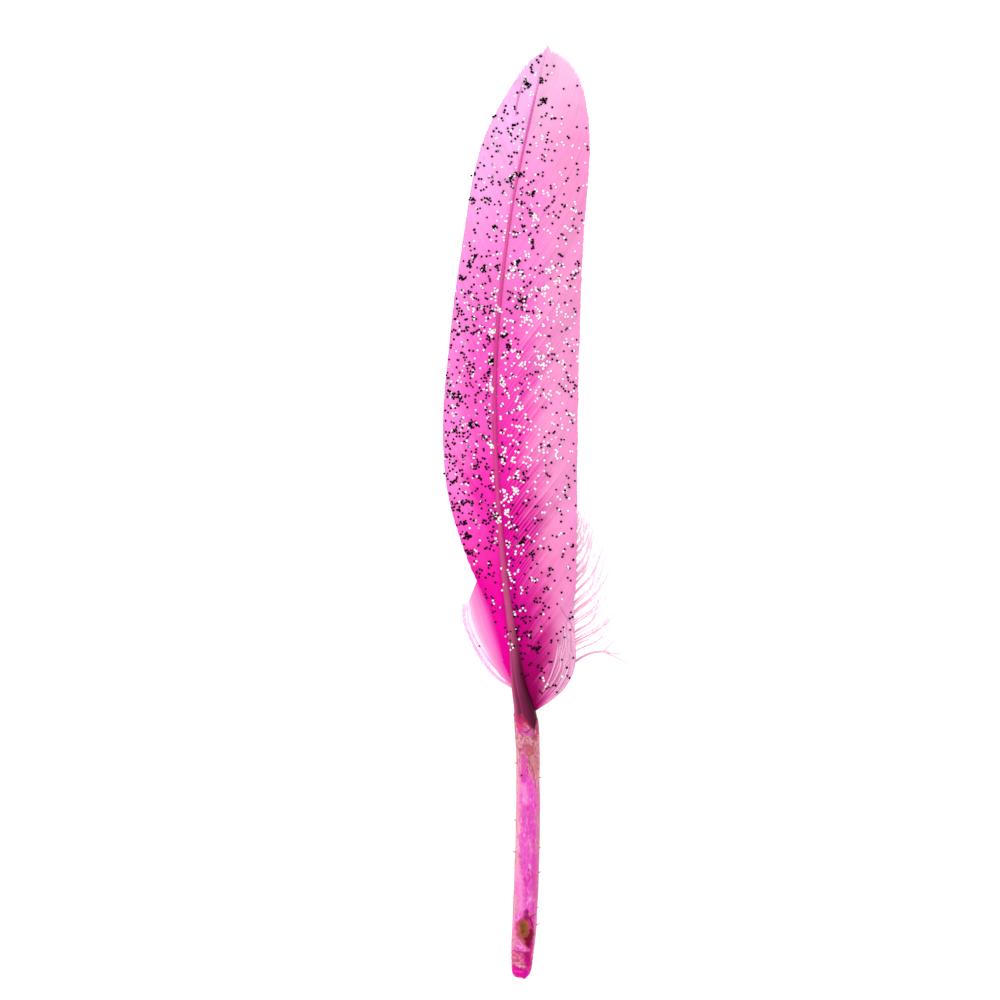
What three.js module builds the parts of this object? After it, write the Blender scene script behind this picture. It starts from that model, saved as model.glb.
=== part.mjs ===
// A wing feather that lies on a flat surface: quill towards -Y, tip towards +Y, its upper face towards +Z.
import * as THREE from "three";

// Driving sizes in millimetres. Every distance along the feather starts at the quill's cut end.
const LENGTH = 155;
const QUILL_TOP = 43.8;
const HOLLOW_DEPTH = 41;
const QUILL_WALL = 0.4;
const SHEET_THICKNESS = 0.4;
const GAP = 0.3;

// The shaft lies on the surface up to ARCH_START, arches over it and comes down again at the tip.
const ARCH_START = 42;
const ARCH_RISE = 3.2;
const ARCH_LEAN = 0.75;

// A vane leaves the shaft a little above its middle and droops to its outer edge.
const VANE_SEAT = 0.2;
const VANE_CAMBER = 1.6;
const VANE_LIFT = 1.9;
const LIFT_FROM = 52;
const LEFT_LIFT_TO = 90;
const RIGHT_LIFT_TO = 95;

// Each list below holds pairs: distance along the feather, then the size there.
const SHAFT_PATH = [
  [0, 0.15],
  [13, 0.92],
  [31, 1.33],
  [43.8, 0.92],
  [49.7, -0.35],
  [56.3, -1.17],
  [68.8, -2.78],
  [87.8, -4.05],
  [98, -4.2],
  [107.2, -3.83],
  [119, -2.67],
  [129.7, -1.18],
  [139.7, 0.87],
  [LENGTH, 4.33],
];
const SHAFT_RADIUS = [
  [0, 1.6],
  [4, 1.92],
  [14, 2.06],
  [32, 1.98],
  [43.8, 1.87],
  [46.3, 1.6],
  [49.7, 1.2],
  [56.3, 0.75],
  [69.7, 0.475],
  [99.7, 0.34],
  [129.7, 0.21],
  [LENGTH, 0.1],
];
const LEFT_EDGE = [
  [51, -2.4],
  [59.7, -4.3],
  [69.7, -8.67],
  [79.7, -11.83],
  [91, -12.9],
  [108, -11.6],
  [121.3, -9.83],
  [139.7, -6.17],
  [148, -2],
  [153, 1.5],
  [LENGTH, 4.2],
];
const RIGHT_EDGE = [
  [44.6, 3.2],
  [46.8, 6.23],
  [51, 8.88],
  [54.5, 9.3],
  [62, 9.2],
  [75, 9.5],
  [100, 9.8],
  [121.3, 10.5],
  [138, 11.67],
  [145, 10.8],
  [151.3, 9],
  [153, 7.5],
  [LENGTH, 4.5],
];
const LEFT_DOWN_EDGE = [
  [48.7, -2.6],
  [51.3, -5.33],
  [56.3, -8.17],
  [59.7, -9.25],
  [63, -8.5],
  [66, -6.5],
];

// The vanes and the left down are cut off where they get narrower than about half a millimetre.
const LEFT_VANE_SPAN = [51.5, 154.2];
const RIGHT_VANE_SPAN = [45.4, 154.2];
const LEFT_DOWN_SPAN = [49.6, 65.8];
const LEFT_DOWN_SEAT = 0.3;

// The right down is a fan: its strands start beside the shaft and end along an arc, listed as x, y.
const RIGHT_DOWN_ROOT = [
  [3.3, 46.6],
  [2.1, 50.6],
];
const RIGHT_DOWN_TIPS = [
  [19.6, 53.4],
  [15, 57.5],
  [15, 64],
  [12.2, 69.5],
  [10, 74],
];
const RIGHT_DOWN_SEAT = 0.9;

// Dried pith in the hollow quill: where each piece starts and ends along it, and its radius.
const UPPER_PITH = { from: 34, to: 40.4, radius: 1.2 };
const LOWER_PITH = { from: 5.4, to: 11.9, radius: 1.2 };

// How finely each shape is divided.
const SHAFT_SIDES = 16;
const QUILL_STEPS = 10;
const FLARE_STEPS = 14;
const RACHIS_STEPS = 26;
const FLARE_TOP = 70;
const VANE_STEPS = { across: 6, along: 34 };
const DOWN_STEPS = { across: 5, along: 12 };
const PITH_STEPS = { around: 12, along: 8 };

// A smooth curve through pairs of distance and value, as a function of the distance.
function curveThrough(pairs) {
  const distances = pairs.map(([distance]) => distance);
  const values = pairs.map(([, value]) => value);
  const interpolant = new THREE.CubicInterpolant(distances, values, 1);
  return (distance) => interpolant.evaluate(distance)[0];
}

const shaftX = curveThrough(SHAFT_PATH);
const shaftRadius = curveThrough(SHAFT_RADIUS);
const leftEdge = curveThrough(LEFT_EDGE);
const rightEdge = curveThrough(RIGHT_EDGE);
const leftDownEdge = curveThrough(LEFT_DOWN_EDGE);

// The height of the shaft's lowest line above the surface.
function archHeight(distance) {
  const share = THREE.MathUtils.clamp((distance - ARCH_START) / (LENGTH - ARCH_START), 0, 1);
  return ARCH_RISE * Math.sin(Math.PI * share ** ARCH_LEAN) ** 2;
}

// The height of the shaft's middle. One flat of its many-sided section faces straight down.
function shaftHeight(distance) {
  return archHeight(distance) + shaftRadius(distance) * Math.cos(Math.PI / SHAFT_SIDES);
}

function evenSteps(from, to, count) {
  return Array.from({ length: count + 1 }, (_, step) => THREE.MathUtils.lerp(from, to, step / count));
}

// A closed sheet: place gives the middle of its thickness for across and along, each from 0 to 1.
function sheetGeometry(steps, place) {
  const geometry = new THREE.BoxGeometry(1, 1, 1, steps.across, steps.along, 1);
  const vertices = geometry.getAttribute("position");
  const corner = new THREE.Vector3();
  for (let index = 0; index < vertices.count; index += 1) {
    corner.fromBufferAttribute(vertices, index);
    const middle = place(corner.x + 0.5, corner.y + 0.5);
    vertices.setXYZ(index, middle.x, middle.y, middle.z + corner.z * SHEET_THICKNESS);
  }
  geometry.computeVertexNormals();
  return geometry;
}

// The distance at a share of a span, with the steps closer together at both ends.
function easedDistance([from, to], share) {
  return THREE.MathUtils.lerp(from, to, (1 - Math.cos(Math.PI * share)) / 2);
}

// The height of a vane's middle at a share of its width, from 0 at the shaft to 1 at its outer edge.
function vaneHeight(distance, share, liftTo) {
  const rest = SHEET_THICKNESS / 2;
  const root = Math.max(rest, shaftHeight(distance) + VANE_SEAT * shaftRadius(distance));
  const edge = rest + VANE_LIFT * (1 - THREE.MathUtils.smoothstep(distance, LIFT_FROM, liftTo));
  return THREE.MathUtils.lerp(root, edge, share ** VANE_CAMBER);
}

// The hollow quill and the solid rachis, turned as one profile and then bent along the shaft's path.
function shaftGeometry() {
  const hollow = evenSteps(HOLLOW_DEPTH, 0, QUILL_STEPS);
  const quill = evenSteps(0, QUILL_TOP, QUILL_STEPS);
  const flare = evenSteps(QUILL_TOP, FLARE_TOP, FLARE_STEPS).slice(1);
  const rachis = evenSteps(FLARE_TOP, LENGTH, RACHIS_STEPS).slice(1);
  const profile = [
    new THREE.Vector2(0, HOLLOW_DEPTH),
    ...hollow.map((distance) => new THREE.Vector2(shaftRadius(distance) - QUILL_WALL, distance)),
    ...[...quill, ...flare, ...rachis].map((distance) => new THREE.Vector2(shaftRadius(distance), distance)),
    new THREE.Vector2(0, LENGTH),
  ];
  const geometry = new THREE.LatheGeometry(profile, SHAFT_SIDES, Math.PI / SHAFT_SIDES);
  const vertices = geometry.getAttribute("position");
  const corner = new THREE.Vector3();
  for (let index = 0; index < vertices.count; index += 1) {
    corner.fromBufferAttribute(vertices, index);
    vertices.setXYZ(index, corner.x + shaftX(corner.y), corner.y, corner.z + shaftHeight(corner.y));
  }
  geometry.computeVertexNormals();
  return geometry;
}

// A lens of pith on the quill's axis.
function pithGeometry({ from, to, radius }) {
  const middle = (from + to) / 2;
  const geometry = new THREE.SphereGeometry(1, PITH_STEPS.around, PITH_STEPS.along);
  geometry.scale(radius, (to - from) / 2, radius);
  geometry.translate(shaftX(middle), middle, shaftHeight(middle));
  return geometry;
}

function leftVaneGeometry() {
  return sheetGeometry(VANE_STEPS, (across, along) => {
    const distance = easedDistance(LEFT_VANE_SPAN, along);
    const root = shaftX(distance) - shaftRadius(distance) - GAP;
    const x = THREE.MathUtils.lerp(leftEdge(distance), root, across);
    return new THREE.Vector3(x, distance, vaneHeight(distance, 1 - across, LEFT_LIFT_TO));
  });
}

function rightVaneGeometry() {
  return sheetGeometry(VANE_STEPS, (across, along) => {
    const distance = easedDistance(RIGHT_VANE_SPAN, along);
    const root = shaftX(distance) + shaftRadius(distance) + GAP;
    const x = THREE.MathUtils.lerp(root, rightEdge(distance), across);
    return new THREE.Vector3(x, distance, vaneHeight(distance, across, RIGHT_LIFT_TO));
  });
}

// Downy barbs that lie below the left vane, from the shaft's lower side out to the surface.
function leftDownGeometry() {
  return sheetGeometry(DOWN_STEPS, (across, along) => {
    const distance = easedDistance(LEFT_DOWN_SPAN, along);
    const root = shaftX(distance) - shaftRadius(distance) - GAP;
    const x = THREE.MathUtils.lerp(leftDownEdge(distance), root, across);
    const rest = SHEET_THICKNESS / 2;
    const height = THREE.MathUtils.lerp(LEFT_DOWN_SEAT * shaftHeight(distance), rest, (1 - across) ** VANE_CAMBER);
    return new THREE.Vector3(x, distance, Math.max(rest, height));
  });
}

// Downy wisps that fan out below the right vane and past its edge.
function rightDownGeometry() {
  const [low, high] = RIGHT_DOWN_ROOT.map(([x, y]) => new THREE.Vector2(x, y));
  const tips = new THREE.SplineCurve(RIGHT_DOWN_TIPS.map(([x, y]) => new THREE.Vector2(x, y)));
  return sheetGeometry(DOWN_STEPS, (across, along) => {
    const root = low.clone().lerp(high, along);
    const point = root.lerp(tips.getPoint(along), across);
    const height = THREE.MathUtils.lerp(RIGHT_DOWN_SEAT, SHEET_THICKNESS / 2, across);
    return new THREE.Vector3(point.x, point.y, height);
  });
}

const finishes = {
  horn: new THREE.MeshStandardMaterial({ color: 0xd8649a, roughness: 0.35, metalness: 0 }),
  pith: new THREE.MeshStandardMaterial({ color: 0x9a4c44, roughness: 0.8, metalness: 0 }),
  vane: new THREE.MeshStandardMaterial({ color: 0xff6ec9, roughness: 0.6, metalness: 0 }),
  down: new THREE.MeshStandardMaterial({ color: 0xf9b4da, roughness: 0.85, metalness: 0 }),
};

const feather = new THREE.Group();

function addPiece(name, geometry, finish) {
  const piece = new THREE.Mesh(geometry, finish.clone());
  piece.name = name;
  feather.add(piece);
}

addPiece("shaft", shaftGeometry(), finishes.horn);
addPiece("upper_pith", pithGeometry(UPPER_PITH), finishes.pith);
addPiece("lower_pith", pithGeometry(LOWER_PITH), finishes.pith);
addPiece("left_vane", leftVaneGeometry(), finishes.vane);
addPiece("right_vane", rightVaneGeometry(), finishes.vane);
addPiece("left_down", leftDownGeometry(), finishes.down);
addPiece("right_down", rightDownGeometry(), finishes.down);

// The origin is the middle of the feather's footprint, on the surface that it lies on.
const bounds = new THREE.Box3().setFromObject(feather, true);
const middle = bounds.getCenter(new THREE.Vector3());
feather.position.set(-middle.x, -middle.y, -bounds.min.z);

export default feather;
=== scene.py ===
"""A dyed pink wing feather: horn shaft, dried pith, barbed vanes, loose down and glitter flakes.

Sizes are in millimetres, measured along the feather from the quill's cut end, as in the solids.
FeatherPlan.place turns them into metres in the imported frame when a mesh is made.
"""

import logging
import math
from dataclasses import dataclass, field
from enum import Enum

import bpy
import numpy as np
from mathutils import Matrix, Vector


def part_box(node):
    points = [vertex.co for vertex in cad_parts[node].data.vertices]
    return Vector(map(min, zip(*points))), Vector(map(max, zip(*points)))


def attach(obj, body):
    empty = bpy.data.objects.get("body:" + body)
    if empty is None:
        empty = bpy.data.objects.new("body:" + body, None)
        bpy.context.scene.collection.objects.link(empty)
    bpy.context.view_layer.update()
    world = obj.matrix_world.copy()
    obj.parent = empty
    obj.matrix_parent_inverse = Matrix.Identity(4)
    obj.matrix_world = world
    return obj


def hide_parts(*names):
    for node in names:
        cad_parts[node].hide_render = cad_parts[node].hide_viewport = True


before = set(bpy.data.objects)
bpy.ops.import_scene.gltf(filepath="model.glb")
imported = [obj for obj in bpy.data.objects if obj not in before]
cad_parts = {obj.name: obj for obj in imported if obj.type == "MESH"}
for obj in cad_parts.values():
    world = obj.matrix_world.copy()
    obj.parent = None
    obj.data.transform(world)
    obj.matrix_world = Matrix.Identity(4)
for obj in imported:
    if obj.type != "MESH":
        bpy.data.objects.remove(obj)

Array = np.ndarray
Cell = tuple[float, float, float, float]
Socket = bpy.types.NodeSocket
Guides = tuple[tuple[float, float], ...]
Span = tuple[float, float]

LOG = logging.getLogger("feather")
BODY = "root"
BAKE_MAP = "OFBake"
METRE = 1000.0
EXPOSURE = 1.22
FULL_CELL: Cell = (0.0, 0.0, 1.0, 1.0)
MAP_INSET = 0.04
FLAKE_ON_MAP = 0.44
MIX_COLOURS = (6, 7)
MIX_RESULT = 2


class Side(Enum):
    """The side of the shaft that a vane grows on, with the sign of its x."""

    LEFT = -1.0
    RIGHT = 1.0


class Dye(Enum):
    """The colours of the dyed feather, as hex values of how they look in the photograph."""

    WHITE = "fff4fb"
    LILAC = "ffbef4"
    BLUSH = "ffbbe6"
    PETAL = "fb98d1"
    CANDY = "ee60ae"
    HEATHER = "b4508e"
    ROSE = "ff86d8"
    HOT_PINK = "fd5ac6"
    FUCHSIA = "f92cb2"
    VIVID = "f2019f"
    MAGENTA = "e3059a"
    CERISE = "c4017c"
    WINE = "8c014c"
    FOXGLOVE = "da4090"
    MAUVE = "cb4c84"
    DUSKY = "c04f7e"
    PLUM = "92305e"
    DAMSON = "781e48"
    DARK_PLUM = "46061f"
    VIOLET = "7a1468"
    MULBERRY = "961458"
    BERRY = "c8327a"
    CARMINE = "da3887"
    RASPBERRY = "d04a7a"
    GLOW = "c82a60"
    EMBER = "e2708e"
    ROSEWOOD = "b0506c"
    DAHLIA = "b4009c"
    THISTLE = "d85cab"
    ORCHID = "ee5cc6"
    PALE_ORCHID = "f89cd8"
    DEEP_ORCHID = "dc3ea8"
    CREAM = "f6bcc0"
    SALMON = "eb9eb4"
    BRICK = "d07888"
    TAN = "d69490"
    CLAY = "cd6460"
    RUST = "b4504c"
    UMBER = "aa5e32"
    MOSS = "785032"
    OXBLOOD = "82062e"
    SMOKE = "8c5a80"
    HAZE = "ee9cc6"
    MIST = "f8c8e0"
    SOOT = "060506"
    SILVER = "ffffff"

    @property
    def rgba(self) -> tuple[float, float, float, float]:
        """The colour in linear light, less the photograph's bright exposure.

        Returns:
            Red, green, blue and full alpha.
        """
        shown = [int(self.value[at:at + 2], 16) / 255 for at in (0, 2, 4)]
        linear = [c / 12.92 if c <= 0.04045 else ((c + 0.055) / 1.055) ** 2.4 for c in shown]
        red, green, blue = (c / EXPOSURE for c in linear)
        return (red, green, blue, 1.0)


def smoothstep(value: Array | float, low: float, high: float) -> Array:
    """A soft step from 0 to 1.

    Args:
        value: Where the step is read.
        low: Where it leaves 0.
        high: Where it reaches 1.

    Returns:
        The step at each value.
    """
    share = np.clip((np.asarray(value, float) - low) / (np.asarray(high) - low), 0.0, 1.0)
    return share * share * (3.0 - 2.0 * share)


@dataclass(frozen=True)
class Profile:
    """A smooth curve through pairs of a distance and the size there."""

    pairs: tuple[tuple[float, float], ...]

    def at(self, distance: Array | float) -> Array:
        """Reads the curve, which stays level past its ends.

        Args:
            distance: Where it is read.

        Returns:
            The size at each distance.
        """
        knots = np.array([pair[0] for pair in self.pairs])
        sizes = np.array([pair[1] for pair in self.pairs])
        steps = np.diff(knots)
        chords = np.diff(sizes) / steps
        slopes = np.concatenate([chords[:1], (chords[:-1] + chords[1:]) / 2, chords[-1:]])
        where = np.clip(np.asarray(distance, float), knots[0], knots[-1])
        at = np.clip(np.searchsorted(knots, where, side="right") - 1, 0, len(steps) - 1)
        t = (where - knots[at]) / steps[at]
        blend = t * t * (3.0 - 2.0 * t)
        rise = steps[at] * t * (1.0 - t)
        bent = rise * ((1.0 - t) * slopes[at] - t * slopes[at + 1])
        return sizes[at] * (1.0 - blend) + sizes[at + 1] * blend + bent


@dataclass(frozen=True)
class FeatherPlan:
    """The driving sizes that every piece of the feather shares."""

    length: float = 155.0
    quill_top: float = 43.8
    hollow_depth: float = 41.0
    wall: float = 0.4
    arch_start: float = 42.0
    arch_rise: float = 3.2
    arch_lean: float = 0.75
    sides: int = 16
    vane_seat: float = 0.2
    camber: float = 1.6
    vane_rest: float = 0.14
    vane_lift: float = 1.9
    lift_from: float = 52.0
    lift_to: dict[Side, float] = field(default_factory=lambda: {Side.LEFT: 90.0, Side.RIGHT: 95.0})
    tip_margin: float = 0.35
    overreach: float = 1.05
    path_samples: int = 600
    shaft_path: Profile = Profile((
        (0, 0.15), (13, 0.92), (31, 1.33), (43.8, 0.92), (49.7, -0.35), (56.3, -1.17), (68.8, -2.78),
        (87.8, -4.05), (98, -4.2), (107.2, -3.83), (119, -2.67), (129.7, -1.18), (139.7, 0.87),
        (155, 4.33),
    ))
    shaft_radius: Profile = Profile((
        (0, 1.6), (4, 1.92), (14, 2.06), (32, 1.98), (43.8, 1.87), (46.3, 1.6), (49.7, 1.2), (56.3, 0.75),
        (69.7, 0.475), (99.7, 0.34), (129.7, 0.21), (155, 0.1),
    ))
    left_edge: Profile = Profile((
        (51, -2.4), (59.7, -4.3), (69.7, -8.67), (79.7, -11.83), (91, -12.9), (108, -11.6),
        (121.3, -9.83), (139.7, -6.17), (148, -2), (153, 1.5), (155, 4.2),
    ))
    right_edge: Profile = Profile((
        (44.6, 3.2), (46.8, 6.23), (51, 8.88), (54.5, 9.3), (62, 9.2), (75, 9.5), (100, 9.8),
        (121.3, 10.5), (138, 11.67), (145, 10.8), (151.3, 9), (153, 7.5), (155, 4.5),
    ))

    def edge(self, side: Side) -> Profile:
        """The outline of one vane."""
        return self.left_edge if side is Side.LEFT else self.right_edge

    def arch(self, distance: Array | float) -> Array:
        """The height of the shaft's lowest line.

        Args:
            distance: Distances along the feather.

        Returns:
            The height above the surface at each distance.
        """
        share = (np.asarray(distance, float) - self.arch_start) / (self.length - self.arch_start)
        return self.arch_rise * np.sin(np.pi * np.clip(share, 0.0, 1.0) ** self.arch_lean) ** 2

    def shaft_height(self, distance: Array | float) -> Array:
        """The height of the shaft's middle."""
        return self.arch(distance) + self.shaft_radius.at(distance) * math.cos(math.pi / self.sides)

    def shaft_lean(self, distance: Array | float) -> Array:
        """The angle of the shaft from +Y, in radians, leaning to +X."""
        ahead = np.asarray(distance, float) + 0.5
        return np.arctan(self.shaft_path.at(ahead) - self.shaft_path.at(ahead - 1.0))

    def vane_surface(self, side: Side, x: Array, y: Array) -> tuple[Array, Array]:
        """The curved sheet that one vane's barbs lie in.

        Args:
            side: The vane.
            x: Places across the feather.
            y: Distances along it.

        Returns:
            The sheet's height, and the share of the vane's width from the shaft to its edge.
        """
        along = np.clip(y, 0.0, self.length - self.tip_margin)
        radius = self.shaft_radius.at(along)
        root = self.shaft_path.at(along) + side.value * radius
        share = np.clip((x - root) / (self.edge(side).at(along) - root), 0.0, self.overreach)
        lift = self.vane_lift * (1.0 - smoothstep(along, self.lift_from, self.lift_to[side]))
        low = self.vane_rest + lift
        high = np.maximum(self.vane_rest, self.shaft_height(along) + self.vane_seat * radius)
        return high + (low - high) * share ** self.camber, share

    def top(self, x: Array, y: Array, seat: float) -> Array:
        """The height of the feather's upper side, where flakes lie.

        Args:
            x: Places across the feather.
            y: Distances along it.
            seat: How far above a vane's sheet they lie.

        Returns:
            The height at each place.
        """
        left, _ = self.vane_surface(Side.LEFT, x, y)
        right, _ = self.vane_surface(Side.RIGHT, x, y)
        off = x - self.shaft_path.at(y)
        radius = self.shaft_radius.at(y)
        crown = self.shaft_height(y) + radius * np.sqrt(np.clip(1.0 - (off / radius) ** 2, 0.0, 1.0))
        return np.where(np.abs(off) < radius, crown, np.where(off < 0.0, left, right) + seat)

    def place(self, points: Array) -> Array:
        """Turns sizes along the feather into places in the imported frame.

        Args:
            points: Any array of x, y, z in millimetres.

        Returns:
            The same array in metres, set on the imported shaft.
        """
        low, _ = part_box("shaft")
        stations = np.linspace(0.0, self.length, self.path_samples)
        flat = math.cos(math.pi / self.sides)
        leftmost = np.min(self.shaft_path.at(stations) - flat * self.shaft_radius.at(stations))
        shift = np.array([low.x - leftmost / METRE, low.y, low.z])
        return np.asarray(points, float) / METRE + shift


@dataclass
class MeshSheaf:
    """Closed strands, tubes and flakes that are joined into one mesh.

    A loft is an array of rings: strands, stations along each strand, points round each station, xyz.
    """

    plan: FeatherPlan
    points: list[Array] = field(default_factory=list)
    faces: list[list[int]] = field(default_factory=list)
    corners: list[Array] = field(default_factory=list)
    values: dict[str, list[Array]] = field(default_factory=dict)
    total: int = 0

    def add(self, rings: Array, values: dict[str, Array], cell: Cell = FULL_CELL, rows: int = 1,
            flakes: bool = False) -> None:
        """Adds lofts, each closed with a face at both ends.

        Args:
            rings: The loft's points in millimetres.
            values: Named numbers that spread over the strands, stations and points.
            cell: The part of the bake map that they fill, as low u, low v, high u, high v.
            rows: How many rows of strands the map has.
            flakes: Whether the end faces, not the sides, get the room on the map.
        """
        strands, stations, sides = rings.shape[:3]
        index = np.arange(strands * stations * sides).reshape(strands, stations, sides) + self.total
        turned = np.roll(index, -1, axis=2)
        quads = np.stack([index[:, :-1], turned[:, :-1], turned[:, 1:], index[:, 1:]], axis=-1)
        self.faces += quads.reshape(-1, 4).tolist()
        self.faces += index[:, 0, ::-1].tolist() + index[:, -1].tolist()
        self.points.append(rings.reshape(-1, 3))
        for name, value in values.items():
            self.values.setdefault(name, []).append(np.broadcast_to(value, rings.shape[:3]).reshape(-1))
        self._map(strands, stations, sides, cell, rows, flakes)
        self.total += index.size

    def _map(self, strands: int, stations: int, sides: int, cell: Cell, rows: int, flakes: bool) -> None:
        """Lays the strands out side by side on the bake map.

        Args:
            strands: How many strands there are.
            stations: Stations along each.
            sides: Points round each station.
            cell: The part of the map that they fill.
            rows: How many rows of strands it has.
            flakes: Whether the end faces get the room.
        """
        columns = math.ceil(strands / rows)
        size = np.array([(cell[2] - cell[0]) / columns, (cell[3] - cell[1]) / rows])
        order = np.arange(strands)
        low = np.stack([order % columns, order // columns], axis=-1) * size + cell[:2]
        u = np.linspace(MAP_INSET, 1.0 - MAP_INSET, sides + 1)
        v = np.linspace(MAP_INSET, 1.0 - MAP_INSET, stations)
        left, bottom = np.meshgrid(u[:-1], v[:-1])
        right, top = np.meshgrid(u[1:], v[1:])
        local = np.stack([
            np.stack([left, bottom], -1), np.stack([right, bottom], -1),
            np.stack([right, top], -1), np.stack([left, top], -1),
        ], axis=2)
        turn = 2.0 * np.pi * np.arange(sides) / sides
        disc = 0.5 + FLAKE_ON_MAP * np.stack([np.cos(turn), np.sin(turn)], axis=-1)
        if flakes:
            local = np.full_like(local, 0.5)
        else:
            disc = np.full_like(disc, 0.5)
        spread = low[:, None, None, None] + local[None] * size
        caps = low[:, None] + disc[None] * size
        self.corners += [spread.reshape(-1, 2), caps[:, ::-1].reshape(-1, 2), caps.reshape(-1, 2)]

    def finish(self, name: str, smooth: bool = True) -> bpy.types.Object:
        """Makes the joined mesh and its object.

        Args:
            name: The piece's name.
            smooth: Whether its faces are shaded smooth.

        Returns:
            The new object, linked to the scene.
        """
        mesh = bpy.data.meshes.new(name)
        mesh.from_pydata(self.plan.place(np.concatenate(self.points)).tolist(), [], self.faces)
        mesh.polygons.foreach_set("use_smooth", np.full(len(self.faces), smooth))
        layer = mesh.uv_layers.new(name=BAKE_MAP)
        layer.data.foreach_set("uv", np.concatenate(self.corners).reshape(-1).astype(np.float32))
        for key, parts in self.values.items():
            numbers = mesh.attributes.new(key, "FLOAT", "POINT")
            numbers.data.foreach_set("value", np.concatenate(parts).astype(np.float32))
        mesh.validate()
        mesh.update()
        piece = bpy.data.objects.new(name, mesh)
        bpy.context.scene.collection.objects.link(piece)
        return piece


def bezier(ends: Array, handles: Array, stations: int) -> Array:
    """Cubic curves between two ends.

    Args:
        ends: Start and end of each curve, as curves, 2, coordinates.
        handles: The two inner control points of each, in the same form.
        stations: How many points each curve gets.

    Returns:
        The points, as curves, stations, coordinates.
    """
    t = np.linspace(0.0, 1.0, stations)[None, :, None]
    back = 1.0 - t
    outer = ends[:, :1] * back ** 3 + ends[:, 1:] * t ** 3
    return outer + 3.0 * handles[:, :1] * back ** 2 * t + 3.0 * handles[:, 1:] * back * t ** 2


def threaded(guides: Array, stations: int) -> Array:
    """Smooth curves through rows of guide points.

    Args:
        guides: Curves, guide points, coordinates.
        stations: How many points each curve gets.

    Returns:
        The points, as curves, stations, coordinates.
    """
    slopes = np.gradient(guides, axis=1)
    where = np.linspace(0.0, guides.shape[1] - 1, stations)
    at = np.minimum(where.astype(int), guides.shape[1] - 2)
    t = (where - at)[None, :, None]
    blend = t * t * (3.0 - 2.0 * t)
    bent = t * (1.0 - t) * ((1.0 - t) * slopes[:, at] - t * slopes[:, at + 1])
    return guides[:, at] * (1.0 - blend) + guides[:, at + 1] * blend + bent


def threaded_share(line: Array, share: float) -> Array:
    """The first share of a line, with as many stations as before.

    Args:
        line: The line's points.
        share: How much of it is kept.

    Returns:
        The shorter line.
    """
    steps = np.linspace(0.0, 1.0, len(line))
    return np.stack([np.interp(steps * share, steps, numbers) for numbers in line.T], axis=-1)


def headings(angle: Array, sign: float) -> Array:
    """Unit steps in the plane at an angle from +Y, towards the side that sign gives."""
    return np.stack([sign * np.sin(angle), np.cos(angle)], axis=-1)


def swept(ends: Array, leave: Array, arrive: Array, sign: float, stations: int, pull: float = 0.34) -> Array:
    """Curves in the plane that leave and arrive at given angles.

    Args:
        ends: Start and end of each curve.
        leave: Angle from +Y at the start, in radians.
        arrive: Angle from +Y at the end.
        sign: The side that positive angles lean to.
        stations: How many points each curve gets.
        pull: How strongly the angles are held, as a share of the chord.

    Returns:
        The points, as curves, stations, 2.
    """
    chord = np.linalg.norm(ends[:, 1] - ends[:, 0], axis=-1, keepdims=True) * pull
    first = ends[:, 0] + chord * headings(leave, sign)
    second = ends[:, 1] - chord * headings(arrive, sign)
    return bezier(ends, np.stack([first, second], axis=1), stations)


def crosswise(paths: Array) -> Array:
    """Unit steps in the plane, to the right of each path's travel.

    Args:
        paths: Paths, stations, xy or xyz.

    Returns:
        The steps, as paths, stations, 2.
    """
    along = np.gradient(paths[..., :2], axis=1)
    along /= np.maximum(np.linalg.norm(along, axis=-1, keepdims=True), 1e-9)
    return np.stack([along[..., 1], -along[..., 0]], axis=-1)


def spacing(paths: Array) -> Array:
    """How far apart paths that lie side by side are, at each station."""
    return np.abs(np.sum(np.gradient(paths[..., :2], axis=0) * crosswise(paths), axis=-1))


def shelf(bottom: float, rank: int, count: int) -> Cell:
    """One of several equal strips of the bake map, in the tenth of it that starts at bottom."""
    low = bottom + 0.1 * rank / count
    return (0.0, low, 1.0, low + 0.09 / count)


def tubes(paths: Array, radii: Array, sides: int) -> Array:
    """Round strands along paths that lie nearly flat.

    Args:
        paths: Strands, stations, xyz.
        radii: The radius at each station.
        sides: Points round each station.

    Returns:
        The rings of a loft.
    """
    right = crosswise(paths)
    turn = np.pi - 2.0 * np.pi * np.arange(sides) / sides
    rings = np.repeat(paths[:, :, None, :], sides, axis=2)
    rings[..., :2] += right[:, :, None, :] * (radii[:, :, None] * np.cos(turn))[..., None]
    rings[..., 2] += radii[:, :, None] * np.sin(turn)
    return rings


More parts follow.
